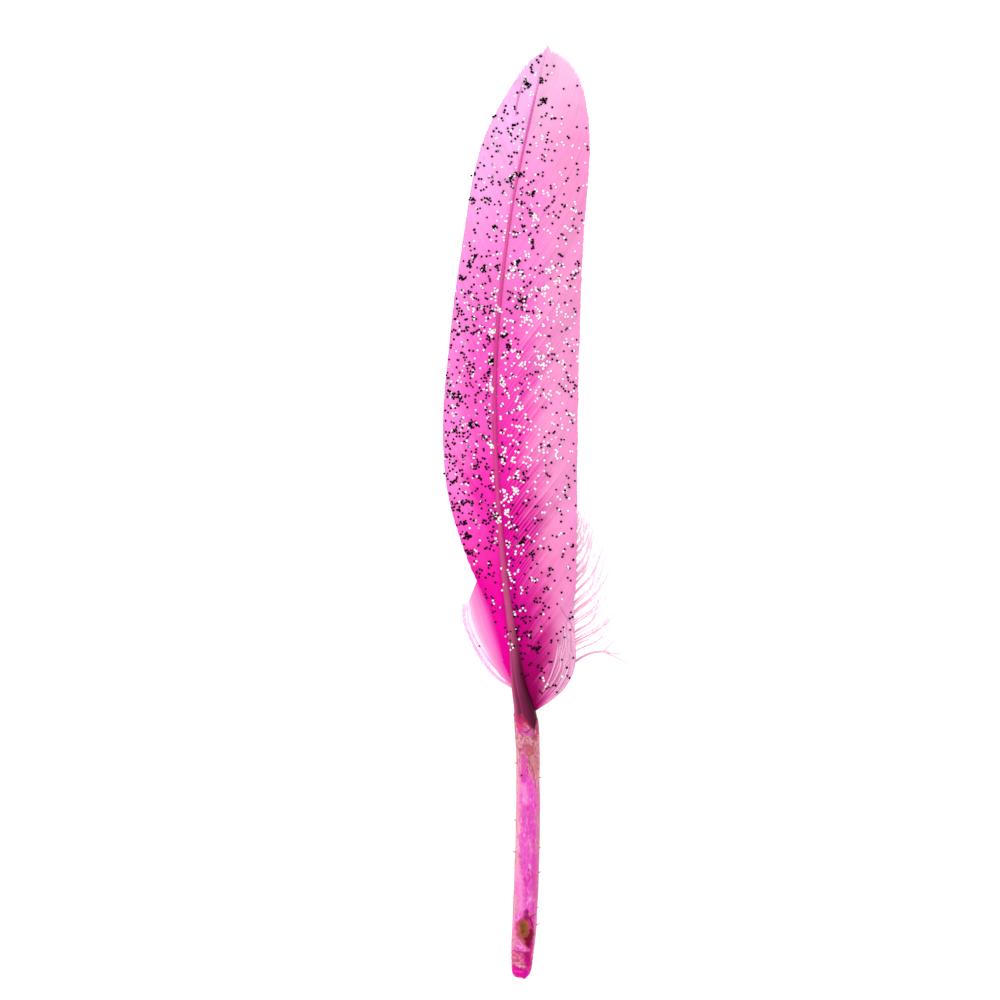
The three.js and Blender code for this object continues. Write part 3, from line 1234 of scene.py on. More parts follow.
@dataclass
class Shaft:
    """The horn shaft: a hollow quill, open at its cut end, that runs on as the solid rachis.

    A pair named from or until says between which distances from the cut end something starts or stops.
    A burr is a distance, the sign of a side and a length.
    """

    plan: FeatherPlan
    marks: tuple[Mark, ...]
    windows: tuple[Mark, ...]
    sides: int = 108
    hollow_rings: int = 60
    outside_rings: tuple[int, ...] = (80, 330, 60, 150)
    wrinkled_end: float = 7.0
    junction_end: float = 64.0
    groove: float = 0.16
    groove_width: float = 0.3
    groove_from: Span = (50.0, 66.0)
    groove_until: Span = (110.0, 130.0)
    ridge: float = 0.08
    ridge_place: float = 0.3
    ridge_width: float = 0.2
    ridge_from: Span = (43.0, 47.0)
    ridge_until: Span = (58.0, 68.0)
    lip: float = 0.06
    lip_from: Span = (38.0, 43.0)
    lip_drop: float = 0.1
    lip_slant: float = 0.4
    lip_edge: float = 0.3
    unevenness: float = 0.009
    uneven_until: Span = (40.0, 46.0)
    wrinkle: float = 0.05
    wrinkle_place: float = 3.6
    wrinkle_reach: float = 1.3
    wrinkle_pitch: float = 0.9
    cut_unevenness: float = 0.16
    cut_reach: float = 0.8
    closing: Profile = Profile(((0, 0.68), (0.5, 0.86), (1.3, 0.95), (2.2, 0.97), (4, 0.98), (6, 1.0)))
    burrs: tuple[tuple[float, float, float], ...] = (
        (33.4, 1.0, 0.5), (21.7, 1.0, 0.45), (17.6, 1.0, 0.6), (8.9, 1.0, 0.75), (26.3, -1.0, 0.6),
        (21.0, -1.0, 0.7), (35.8, -1.0, 0.55), (11.8, 1.0, 0.4), (43.7, -1.0, 0.4),
    )
    burr_stations: int = 5
    burr_sides: int = 5
    burr_root: float = 0.93
    burr_height: float = 0.2
    burr_radius: float = 0.13
    burr_taper: float = 0.11
    burr_across: float = 1.3

    def build(self) -> bpy.types.Object:
        """Builds the shaft's mesh.

        Returns:
            The shaft.
        """
        ends = (0.0, self.wrinkled_end, self.plan.quill_top + 1.0, self.junction_end, self.plan.length)
        parts = [np.linspace(*part)[:-1] for part in zip(ends, ends[1:], self.outside_rings)]
        outside = np.append(np.concatenate(parts), self.plan.length)
        hollow = np.linspace(self.plan.hollow_depth, 0.0, self.hollow_rings)
        inner = self._rings(hollow, self.plan.shaft_radius.at(hollow) - self.plan.wall)
        outer = self._rings(outside, self.plan.shaft_radius.at(outside))
        rings = np.concatenate([inner, outer], axis=1)
        distance = np.concatenate([hollow, outside])[None, :, None]
        values = {
            "distance": distance, "station": distance / self.plan.length, "across": -np.cos(self._turn()),
            "beside": rings[..., 0], **self._stains_and_painted_light(rings[..., 0], rings[..., 1]),
        }
        sheaf = MeshSheaf(self.plan)
        sheaf.add(rings, values, (0.0, 0.0, 1.0, 0.97))
        self._burrs(sheaf)
        return sheaf.finish("shaft_horn")

    def _stains_and_painted_light(self, x: Array, y: Array) -> dict[str, Array]:
        """The joint colour and cover of the marks, with their painted shade and painted highlight, and the
        windows to the pith.

        Args:
            x: Places beside the feather's axis.
            y: Distances from the cut end.

        Returns:
            Values for the mesh.
        """
        colour = np.broadcast_to(Dye.ORCHID.rgba[:3], (*x.shape, 3))
        cover = np.zeros(x.shape)
        for mark in self.marks:
            mask = mark.mask(x, y)
            total = mask + cover * (1.0 - mask)
            part = np.divide(mask, total, out=np.zeros_like(mask), where=total > 0.0)[..., None]
            colour = colour + (np.array(mark.dye.rgba[:3]) - colour) * part
            cover = total
        values = {f"stain_{name}": colour[..., rank] for rank, name in enumerate(("red", "green", "blue"))}
        window = np.max([hole.mask(x, y) for hole in self.windows], axis=0)
        return values | {"marks_and_painted_light": cover, "window": window}

    def _turn(self) -> Array:
        """Angles round the shaft, from its left side over the top."""
        return 2.0 * np.pi * np.arange(self.sides) / self.sides

    def _rings(self, distance: Array, radius: Array) -> Array:
        """Rings round the shaft's path.

        Args:
            distance: Stations along the shaft.
            radius: The radius at each.

        Returns:
            The rings of one loft.
        """
        turn = self._turn()[None, :]
        far = distance[:, None]
        top = turn - np.pi / 2
        groove = self.groove * smoothstep(far, *self.groove_from) * np.exp(-(top / self.groove_width) ** 2)
        shape = 1.0 - groove * (1.0 - smoothstep(far, *self.groove_until))
        flare = smoothstep(far, *self.ridge_from) * (1.0 - smoothstep(far, *self.ridge_until))
        shape = shape + self.ridge * flare * np.exp(-((top + self.ridge_place) / self.ridge_width) ** 2)
        rim = self.plan.quill_top - self.lip_drop - self.lip_slant * np.cos(turn - np.pi)
        lip = self.lip * smoothstep(far, *self.lip_from)
        shape = shape + lip * (1.0 - smoothstep(far - rim, 0.0, self.lip_edge))
        uneven = np.sin(3.0 * turn + 0.35 * far) * np.sin(0.8 * far + turn) + np.sin(5.0 * turn - 0.9 * far)
        shape = shape + self.unevenness * (1.0 - smoothstep(far, *self.uneven_until)) * uneven
        crease = np.exp(-((far - self.wrinkle_place) / self.wrinkle_reach) ** 2)
        twist = 2.0 * np.sin(2.0 * turn)
        waves = np.sin(2.0 * np.pi * far / self.wrinkle_pitch + twist + np.sin(5.0 * turn))
        shape = shape - self.wrinkle * crease * (0.5 + 0.5 * waves)
        ring = radius[:, None] * shape * self.closing.at(far)
        teeth = 1.4 + np.sin(2.0 * turn + 0.6) + 0.6 * np.sin(5.0 * turn)
        cut = self.cut_unevenness * np.exp(-far / self.cut_reach) * teeth
        x = self.plan.shaft_path.at(far) - ring * np.cos(turn)
        z = self.plan.shaft_height(far) + ring * np.sin(turn)
        return np.stack(np.broadcast_arrays(x, far + cut, np.maximum(z, 0.0)), axis=-1)[None]

    def _burrs(self, sheaf: MeshSheaf) -> None:
        """Adds the slivers of horn that stand off the quill's sides.

        Args:
            sheaf: The mesh that grows.
        """
        place, side, length = np.array(self.burrs).T[..., None]
        steps = np.linspace(0.0, 1.0, self.burr_stations)[None, :]
        far = place + 0.5 * length * steps
        reach = self.burr_root * self.plan.shaft_radius.at(place) + length * steps
        x = self.plan.shaft_path.at(place) + side * reach
        z = self.plan.shaft_height(place) + self.burr_height + 0.0 * steps
        paths = np.stack(np.broadcast_arrays(x, far, z), axis=-1)
        radii = np.broadcast_to(self.burr_radius - self.burr_taper * steps, far.shape)
        values = {
            "distance": far[..., None], "station": far[..., None] / self.plan.length,
            "across": self.burr_across * side[..., None], "beside": x[..., None],
        }
        values |= {name: value[..., None] for name, value in self._stains_and_painted_light(x, far).items()}
        sheaf.add(tubes(paths, radii, self.burr_sides), values, (0.0, 0.975, 1.0, 1.0))


@dataclass
class Pith:
    """A dried, folded plug of pith inside the hollow quill."""

    plan: FeatherPlan
    node: str
    start: float
    end: float
    radius: float
    seed: int
    stations: int = 60
    sides: int = 40
    ends: Span = (0.015, 0.985)
    bluntness: float = 0.6
    fold_counts: tuple[int, int] = (2, 9)
    largest_phase: float = 6.3
    body: float = 0.85
    fold_depth: float = 0.11

    def build(self) -> bpy.types.Object:
        """Builds the plug's mesh.

        Returns:
            The plug.
        """
        rng = np.random.default_rng(self.seed)
        share = np.linspace(*self.ends, self.stations)[:, None]
        turn = (2.0 * np.pi * np.arange(self.sides) / self.sides)[None, :]
        swell = np.sin(np.pi * share) ** self.bluntness
        folds = np.zeros((self.stations, self.sides))
        for waves in range(*self.fold_counts):
            phase, pace = rng.uniform(0.0, self.largest_phase, 2)
            folds += np.sin(waves * turn + phase + pace * 2.0 * share) / waves
        ring = self.radius * swell * (self.body + self.fold_depth * folds)
        y = self.start + (self.end - self.start) * share + 0.0 * turn
        x = self.plan.shaft_path.at(y) - ring * np.cos(turn)
        z = self.plan.shaft_height(y) + ring * np.sin(turn)
        sheaf = MeshSheaf(self.plan)
        sheaf.add(np.stack([x, y, z], axis=-1)[None], {"across": -np.cos(turn)[None]})
        return sheaf.finish(self.node + "_plug")


@dataclass(frozen=True)
class Fringe:
    """Loose barbs between two guide lines at a vane's lower end: an even web, or scattered strands."""

    outer: Guides
    inner: Guides
    count: int
    width: float
    wobble: float
    rise: Span
    faded: Span
    mauve: float = 0.0
    even: bool = False
    faded_from: Span = (0.1, 0.45)
    mauve_strength: Span = (0.15, 0.4)
    mauve_from: Span = (0.1, 0.5)
    widest: float = 0.5
    reach: Span = (0.6, 1.0)
    thinness: Span = (0.4, 1.0)
    taper: float = 0.6


@dataclass(frozen=True)
class Crease:
    """A folded or misplaced barb that shows as a line on the vane."""

    guides: Guides
    width: float
    mark: float


@dataclass
class Growth:
    """Strands or flakes that are added to one joined mesh, with chance that starts from their own seed."""

    plan: FeatherPlan
    sheaf: MeshSheaf = field(init=False)
    rng: np.random.Generator = field(init=False)

    def __post_init__(self) -> None:
        """Starts the mesh and the chance."""
        self.sheaf = MeshSheaf(self.plan)
        self.rng = np.random.default_rng(self.seed)


@dataclass
class Vane(Growth):
    """One vane: barbs that leave the shaft, lie side by side and end along the vane's outline.

    The taper pairs hold a neat barb's number and how much fraying changes it. A row of the section is a place
    across the barb, its lift and whether the painted ridge highlight runs there.
    """

    side: Side
    name: str
    span: Span
    pitch: float
    outline: Profile
    tip_of: Profile
    leave: Profile
    arrive: Profile
    seed: int
    creases: tuple[Crease, ...]
    density: Profile = Profile(((44, 1.0), (154, 1.0)))
    fringes: tuple[Fringe, ...] = ()
    stations: int = 40
    section: tuple[tuple[float, float, float], ...] = (
        (-1.0, -0.045, 0.0), (-0.4, -0.006, 0.0), (0.2, 0.008, 0.0), (0.5, 0.012, 0.0),
        (0.64, 0.016, 1.0), (0.78, 0.012, 0.0), (1.0, -0.004, 0.0), (0.0, -0.08, 0.0),
    )
    overlap: float = 0.78
    half_width: Span = (0.07, 0.7)
    samples: int = 800
    root_stray: float = 0.05
    root_place: float = 0.8
    tip_stray: float = 0.003
    frayed_from: Span = (137.0, 147.0)
    fraying: Span = (-0.045, 0.03)
    taper: Span = (0.7, 0.2)
    taper_from: Span = (0.95, 0.1)
    tuck: float = 0.1
    tuck_end: float = 0.12
    full_relief: float = 0.28
    least_relief: float = 0.25
    height_stray: float = 0.004
    lowest: float = 0.02
    crease_ends: Span = (0.04, 0.96)
    crease_rise: float = 0.05
    tone_band: int = 5
    own_tone: float = 0.5
    band_tone: float = 1.4

    def build(self) -> bpy.types.Object:
        """Builds the vane's mesh.

        Returns:
            The vane.
        """
        self._barbs()
        for rank, fringe in enumerate(self.fringes):
            self._loose(fringe, shelf(0.8, rank, len(self.fringes)))
        bulge = np.sin(np.pi * np.linspace(*self.crease_ends, self.stations))[None] ** 0.5
        for rank, crease in enumerate(self.creases):
            line = threaded(np.array([crease.guides]), self.stations)
            cell = shelf(0.9, rank, len(self.creases))
            half = 0.5 * crease.width * bulge
            self._ribbons(line, half, cell, self.crease_rise, crease.mark)
        return self.sheaf.finish(self.name, smooth=False)

    def _barbs(self) -> None:
        """Adds the barbs that lie side by side."""
        sign = self.side.value
        spots = np.linspace(*self.span, self.samples)
        heaped = np.cumsum(self.density.at(spots))
        count = int(heaped[-1] * (spots[1] - spots[0]) / self.pitch)
        roots = np.interp(np.linspace(heaped[0], heaped[-1], count), heaped, spots)
        roots = roots + self.rng.normal(0.0, self.root_stray, count) * self.pitch / self.density.at(roots)
        inset = self.plan.shaft_path.at(roots) + self.root_place * sign * self.plan.shaft_radius.at(roots)
        start = np.stack([inset, roots], axis=-1)
        tip = self.tip_of.at(roots)
        end = np.stack([self.outline.at(tip), tip], axis=-1)
        frayed = smoothstep(roots, *self.frayed_from)[:, None]
        uneven = self.rng.normal(0.0, self.tip_stray, (count, 1))
        uneven = uneven + frayed * self.rng.uniform(*self.fraying, (count, 1))
        end = start + (end - start) * (1.0 + uneven)
        leave = np.radians(self.leave.at(roots)) + sign * self.plan.shaft_lean(roots)
        arrive = np.radians(self.arrive.at(roots))
        lines = swept(np.stack([start, end], axis=1), leave, arrive, sign, self.stations)
        along = np.linspace(0.0, 1.0, self.stations)[None, :]
        narrowing = self.taper[0] + self.taper[1] * frayed
        taper = 1.0 - narrowing * smoothstep(along, self.taper_from[0] - self.taper_from[1] * frayed, 1.0)
        half = np.clip(spacing(lines), *self.half_width) * self.overlap * taper
        self._ribbons(lines, half, (0.0, 0.0, 1.0, 0.8))

    def _loose(self, fringe: Fringe, cell: Cell) -> None:
        """Adds loose barbs at the lower end.

        Args:
            fringe: Their guide lines and sizes.
            cell: Their part of the bake map.
        """
        each = (fringe.count, 1)
        rank = np.linspace(0.0, 1.0, fringe.count) if fringe.even else self.rng.random(fringe.count)
        outer, inner = np.array([fringe.outer]), np.array([fringe.inner])
        guides = outer + (inner - outer) * rank[:, None, None]
        freedom = np.linspace(0.0, 1.0, guides.shape[1])[None, :, None]
        lines = threaded(guides + self.rng.normal(0.0, fringe.wobble, guides.shape) * freedom, self.stations)
        along = np.linspace(0.0, 1.0, self.stations)[None, :]
        mauve = self.rng.random(each) < fringe.mauve
        mark = np.where(mauve, self.rng.uniform(*fringe.mauve_strength, each), 0.0)
        mark = mark * smoothstep(along, *fringe.mauve_from)
        faded = np.where(mauve, 0.0, self.rng.uniform(*fringe.faded, each))
        faded = faded * smoothstep(along, *fringe.faded_from)
        if fringe.even:
            half = np.clip(spacing(lines), fringe.width, fringe.widest) * self.overlap
            rise = fringe.rise[0] + (fringe.rise[1] - fringe.rise[0]) * rank[:, None, None]
        else:
            reach = self.rng.uniform(*fringe.reach, fringe.count)
            lines = np.stack([threaded_share(line, share) for line, share in zip(lines, reach)])
            half = fringe.width * self.rng.uniform(*fringe.thinness, each) * (1.0 - fringe.taper * along)
            rise = np.linspace(*fringe.rise, fringe.count)[self.rng.permutation(fringe.count), None, None]
        self._ribbons(lines, half, cell, rise, mark, faded)

    def _tones(self, count: int) -> Array:
        """Tones from 0 to 1 for barbs side by side, alike in narrow bands.

        Args:
            count: How many barbs there are.

        Returns:
            One tone for each.
        """
        even = np.ones(self.tone_band) / self.tone_band
        band = np.convolve(self.rng.random(count + self.tone_band - 1), even, "valid")
        own = self.own_tone * (self.rng.random(count) - 0.5)
        return np.clip(0.5 + own + self.band_tone * (band - 0.5), 0.0, 1.0)

    def _ribbons(self, lines: Array, half: Array, cell: Cell, rise: Array | float = 0.0,
                 mark: Array | float = 0.0, faded: Array | float = 0.0) -> None:
        """Lays ribbons, each with a raised line, on the vane's sheet.

        Args:
            lines: The ribbons' middle lines in the plane.
            half: Half their widths.
            cell: Their part of the bake map.
            rise: How far above the sheet they lie.
            mark: How mauve they are at each station.
            faded: How white they are at each station.
        """
        count = len(lines)
        offsets, lifts, ridge = np.array(self.section).T
        right = crosswise(lines)
        places = lines[:, :, None, :] + right[:, :, None, :] * (half[:, :, None] * offsets)[..., None]
        height, share = self.plan.vane_surface(self.side, places[..., 0], places[..., 1])
        relief = np.clip(half / self.full_relief, self.least_relief, 1.0)[:, :, None]
        along = np.linspace(0.0, 1.0, self.stations)[None, :, None]
        jitter = self.rng.normal(0.0, self.height_stray, (count, 1, 1)) * along
        tucked = self.tuck * (1.0 - smoothstep(along, 0.0, self.tuck_end))
        height = np.maximum(height + rise + lifts * relief + jitter - tucked, self.lowest)
        shown = [np.broadcast_to(value, half.shape)[:, :, None] for value in (mark, faded)]
        self.sheaf.add(np.concatenate([places, height[..., None]], axis=-1), {
            "along": along, "share": share, "ridge": ridge, "tone": self._tones(count)[:, None, None],
            "station": places[..., 1] / self.plan.length, "mark": shown[0], "faded": shown[1],
        }, cell)


@dataclass
class LeftDown(Growth):
    """Pale downy barbs that lie below the left vane, loose and finely haired at their outer side.

    How pale a barb is goes by its root's number, what it gains along its length, and the gain's power.
    A row of the section is a place across the barb and its lift.
    """

    webbed: int = 48
    loose: int = 9
    stations: int = 28
    seed: int = 31
    hairs: Hairs = Hairs(
        300, (8, 27), (-14.0, 18.0), (0.6, 1.6), (0.018, 0.035), 0.4, (0.72, 0.95), (0.0, 0.6, 1.0, 1.0), 6,
    )
    section: tuple[Span, ...] = ((-1.0, -0.004), (0.0, 0.006), (1.0, -0.004), (0.0, -0.02))
    root_height: float = 0.9
    level: float = 0.3
    level_by: float = 0.6
    inner_rise: float = 0.5
    lowest: float = 0.01
    web: tuple[Guides, Guides] = (
        ((-0.9, 48.3), (-2.2, 49.3), (-3.8, 51.2), (-5.3, 52.9), (-6.7, 55.0), (-7.9, 57.0),
         (-8.7, 59.2), (-8.9, 61.8)),
        ((-0.6, 50.0), (-1.6, 51.6), (-2.2, 53.2), (-2.7, 55.0), (-3.2, 57.0), (-3.7, 59.5),
         (-4.6, 62.8), (-6.6, 67.6)),
    )
    fading: Profile = Profile((
        (0, 0.96), (0.08, 0.88), (0.2, 0.78), (0.32, 0.64), (0.45, 0.51), (0.58, 0.41), (0.68, 0.31),
        (0.77, 0.19), (0.86, 0.06), (0.94, 0.0), (1, 0.0),
    ))
    web_half: Span = (0.03, 0.3)
    web_overlap: float = 1.1
    streaks: float = 0.12
    streaks_until: Span = (0.15, 0.55)
    root_pale: Span = (0.36, 0.64)
    pale_by: float = 0.65
    strand_wobble: float = 0.12
    strand_half: Span = (0.04, 0.1)
    strand_taper: float = 0.5
    strand_pale: tuple[float, float, float] = (0.66, 0.22, 0.6)
    strands: tuple[Guides, Guides] = (
        ((-1.0, 48.1), (-3.6, 49.6), (-5.4, 51.4), (-7.0, 53.9), (-8.4, 56.6), (-9.5, 59.4),
         (-9.6, 62.0)),
        ((-0.9, 48.5), (-3.7, 51.2), (-5.3, 53.1), (-6.7, 55.3), (-8.0, 58.0), (-8.4, 61.0),
         (-7.8, 63.6)),
    )

    def build(self) -> bpy.types.Object:
        """Builds the tuft's mesh.

        Returns:
            The tuft.
        """
        along = np.linspace(0.0, 1.0, self.stations)[None, :]
        rank = np.linspace(0.0, 1.0, self.webbed)
        web = self._lines(self.web, rank, 0.0)
        half = np.clip(spacing(web), *self.web_half) * self.web_overlap
        streaked = self.streaks * self.rng.uniform(-1.0, 1.0, self.webbed)
        streaked = streaked * (1.0 - smoothstep(rank, *self.streaks_until))
        root, gain = self.root_pale
        risen = root + gain * smoothstep(along, 0.0, self.pale_by)
        pale = (self.fading.at(rank) + streaked)[:, None] * risen
        self._ribbons(web, half, pale, (0.0, 0.0, 1.0, 0.45))
        rank = self.rng.random(self.loose)
        strands = self._lines(self.strands, rank, self.strand_wobble)
        half = self.rng.uniform(*self.strand_half, (self.loose, 1)) * (1.0 - self.strand_taper * along)
        root, gain, power = self.strand_pale
        pale = root + gain * along ** power * np.ones((self.loose, 1))
        self._ribbons(strands, half, pale, (0.0, 0.45, 1.0, 0.6))
        self.hairs.grow(self.sheaf, strands, self.rng)
        return self.sheaf.finish("left_down_barbs", smooth=False)

    def _lines(self, guides: tuple[Guides, Guides], rank: Array, wobble: float) -> Array:
        """Barbs between two guide lines.

        Args:
            guides: The outermost line and the innermost one.
            rank: 0 for a barb on the outermost line, 1 for one on the innermost.
            wobble: How far they stray.

        Returns:
            The barbs' middle lines.
        """
        outer, inner = (np.array([line]) for line in guides)
        between = outer + (inner - outer) * rank[:, None, None]
        freedom = np.linspace(0.0, 1.0, between.shape[1])[None, :, None]
        lines = threaded(between + self.rng.normal(0.0, 1.0, between.shape) * wobble * freedom, self.stations)
        along = np.linspace(0.0, 1.0, self.stations)[None, :]
        drop = self.level + wobble * self.rng.random((len(rank), 1)) - self.root_height
        height = self.root_height + drop * smoothstep(along, 0.0, self.level_by)
        height = height + self.inner_rise * rank[:, None]
        return np.concatenate([lines, height[..., None]], axis=-1)

    def _ribbons(self, lines: Array, half: Array, pale: Array, cell: Cell) -> None:
        """Adds flat, soft barbs.

        Args:
            lines: The barbs' middle lines.
            half: Half their widths.
            pale: How pale they are at each station.
            cell: Their part of the bake map.
        """
        offsets, lifts = np.array(self.section).T
        rings = np.repeat(lines[:, :, None, :], len(self.section), axis=2)
        rings[..., :2] += crosswise(lines)[:, :, None, :] * (half[:, :, None] * offsets)[..., None]
        rings[..., 2] = np.maximum(rings[..., 2] + lifts, self.lowest)
        self.sheaf.add(rings, {"pale": pale[..., None], "tone": self.rng.random((len(lines), 1, 1))}, cell)


@dataclass
class RightDown(Growth):
    """Long downy barbs that start below the right vane and pass its edge as thin, curved wisps.

    How pale a wisp is goes by its root's number and what it gains along its length.
    """

    bundles: int = 17
    bundled: int = 7
    stations: int = 34
    seed: int = 47
    hairs: Hairs = Hairs(
        150, (18, 32), (0.0, 16.0), (0.8, 2.4), (0.02, 0.04), 0.5, (0.86, 0.86), (0.0, 0.4, 1.0, 0.8), 4,
    )
    root_height: float = 0.95
    tip_height: float = 0.4
    sink: float = 0.75
    lift: Span = (0.0, 0.6)
    root_start: Span = (0.5, 46.4)
    root_run: Span = (-1.0, 4.2)
    exits: Span = (54.2, 76.0)
    bundle_stray: float = 0.55
    wisp_stray: float = 0.28
    bundle_reach: Span = (0.62, 1.15)
    wisp_reach: Span = (0.6, 1.05)
    gate_inset: float = 0.4
    inside_share: float = 0.55
    bow: Span = (0.62, 0.42)
    tip_stray: float = 0.75
    wisp_radius: Span = (0.09, 0.045)
    wisp_thinness: Span = (0.6, 1.2)
    wisp_sides: int = 4
    wisp_pale: Span = (0.74, 0.14)
    wisp_fading: Span = (0.4, 0.95)
    stem_radius: Span = (0.28, 0.16)
    stem_pale: Span = (0.56, 0.74)
    stem_level_by: float = 0.4
    stem_sides: int = 6
    stem_tone: float = 0.4
    twig_radius: Span = (0.12, 0.06)
    twig_pale: Span = (0.74, 0.86)
    reach_x: Profile = Profile(((54, 8.0), (57, 8.4), (61, 6.8), (64.7, 5.0), (69.7, 3.2), (73, 1.6),
                                (76, 0.7)))
    reach_y: Profile = Profile(((54, 5.6), (57, 8.0), (61, 9.4), (64.7, 9.6), (69.7, 7.6), (73, 5.0),
                                (76, 3.0)))
    stray: Guides = ((0.5, 45.2), (2.8, 47.2), (6.4, 50.4), (9.4, 52.8), (11.6, 54.0), (13.5, 54.35),
                     (14.8, 54.2))
    twigs: tuple[Guides, ...] = (
        ((14.7, 54.2), (15.6, 54.05), (16.4, 54.0), (17.5, 54.25), (19.1, 55.0)),
        ((14.4, 54.1), (15.9, 53.45), (17.3, 52.7), (18.5, 52.15), (19.6, 52.1)),
        ((13.9, 54.4), (14.6, 55.0), (15.6, 55.95), (16.5, 56.8), (17.4, 57.7)),
    )

    def build(self) -> bpy.types.Object:
        """Builds the wisps' mesh.

        Returns:
            The wisps.
        """
        lines = self._wisps()
        along = np.linspace(0.0, 1.0, self.stations)[None, :, None]
        thinness = self.rng.uniform(*self.wisp_thinness, (len(lines), 1))
        radii = np.linspace(*self.wisp_radius, self.stations) * thinness
        root, gain = self.wisp_pale
        pale = root + gain * smoothstep(along, *self.wisp_fading)
        values = {"pale": pale, "tone": self.rng.random((len(lines), 1, 1))}
        self.sheaf.add(tubes(lines, radii, self.wisp_sides), values, (0.0, 0.0, 1.0, 0.4), rows=2)
        self.hairs.grow(self.sheaf, lines, self.rng)
        for guides, start, thin, fading, cell in (
            ((self.stray,), self.root_height, self.stem_radius, self.stem_pale, (0.0, 0.8, 1.0, 0.9)),
            (self.twigs, self.tip_height, self.twig_radius, self.twig_pale, (0.0, 0.9, 1.0, 1.0)),
        ):
            planar = threaded(np.array(guides), self.stations)
            raised = 1.0 - smoothstep(along, 0.0, self.stem_level_by)
            height = self.tip_height + (start - self.tip_height) * raised
            lines = np.concatenate([planar, np.repeat(height, len(planar), axis=0)], axis=-1)
            radii = np.repeat(np.linspace(*thin, self.stations)[None], len(planar), axis=0)
            pale = np.linspace(*fading, self.stations)[None, :, None]
            values = {"pale": pale, "tone": np.full((1, 1, 1), self.stem_tone)}
            self.sheaf.add(tubes(lines, radii, self.stem_sides), values, cell)
        return self.sheaf.finish("right_down_wisps")

    def _wisps(self) -> Array:
        """The wisps' middle lines, which bunch together where they pass the vane's edge.

        Returns:
            The lines, as wisps, stations, xyz.
        """
        wisps = self.bundles * self.bundled
        heart = np.linspace(*self.exits, self.bundles) + self.rng.normal(0.0, self.bundle_stray, self.bundles)
        strayed = np.repeat(heart, self.bundled) + self.rng.normal(0.0, self.wisp_stray, wisps)
        leave = np.clip(strayed, *self.exits)
        share = np.clip((leave - self.exits[0]) / (self.exits[1] - self.exits[0]), 0.0, 1.0)
        root = np.array(self.root_start) + np.array(self.root_run) * share[:, None]
        reach = np.repeat(self.rng.uniform(*self.bundle_reach, self.bundles), self.bundled)
        reach = reach * self.rng.uniform(*self.wisp_reach, wisps)
        out = np.stack([self.reach_x.at(leave) * reach, self.reach_y.at(leave) * reach], axis=-1)
        gate = np.stack([self.plan.right_edge.at(leave) - self.gate_inset, leave], axis=-1)
        middle = gate + out * np.array(self.bow)
        tip = gate + out + self.rng.normal(0.0, self.tip_stray, out.shape)
        inside = root + (gate - root) * self.inside_share
        lines = threaded(np.stack([root, inside, gate, middle, tip], axis=1), self.stations)
        along = np.linspace(0.0, 1.0, self.stations)[None, :]
        height = self.root_height - self.sink * along + self.rng.uniform(*self.lift, (wisps, 1)) * along
        return np.concatenate([lines, height[..., None]], axis=-1)


class Flake(Enum):
    """The looks of a glitter flake, with the number that its finish reads: a painted reflection, dark, grey
    or bright.
    """

    DARK = 0.0
    GREY = 0.55
    BRIGHT = 1.0


@dataclass(frozen=True)
class GlitterDusting:
    """One even dusting of flakes on one vane, denser towards the shaft where inward is above 1."""

    side: Side
    flake: Flake
    count: int
    density: Profile
    inward: float


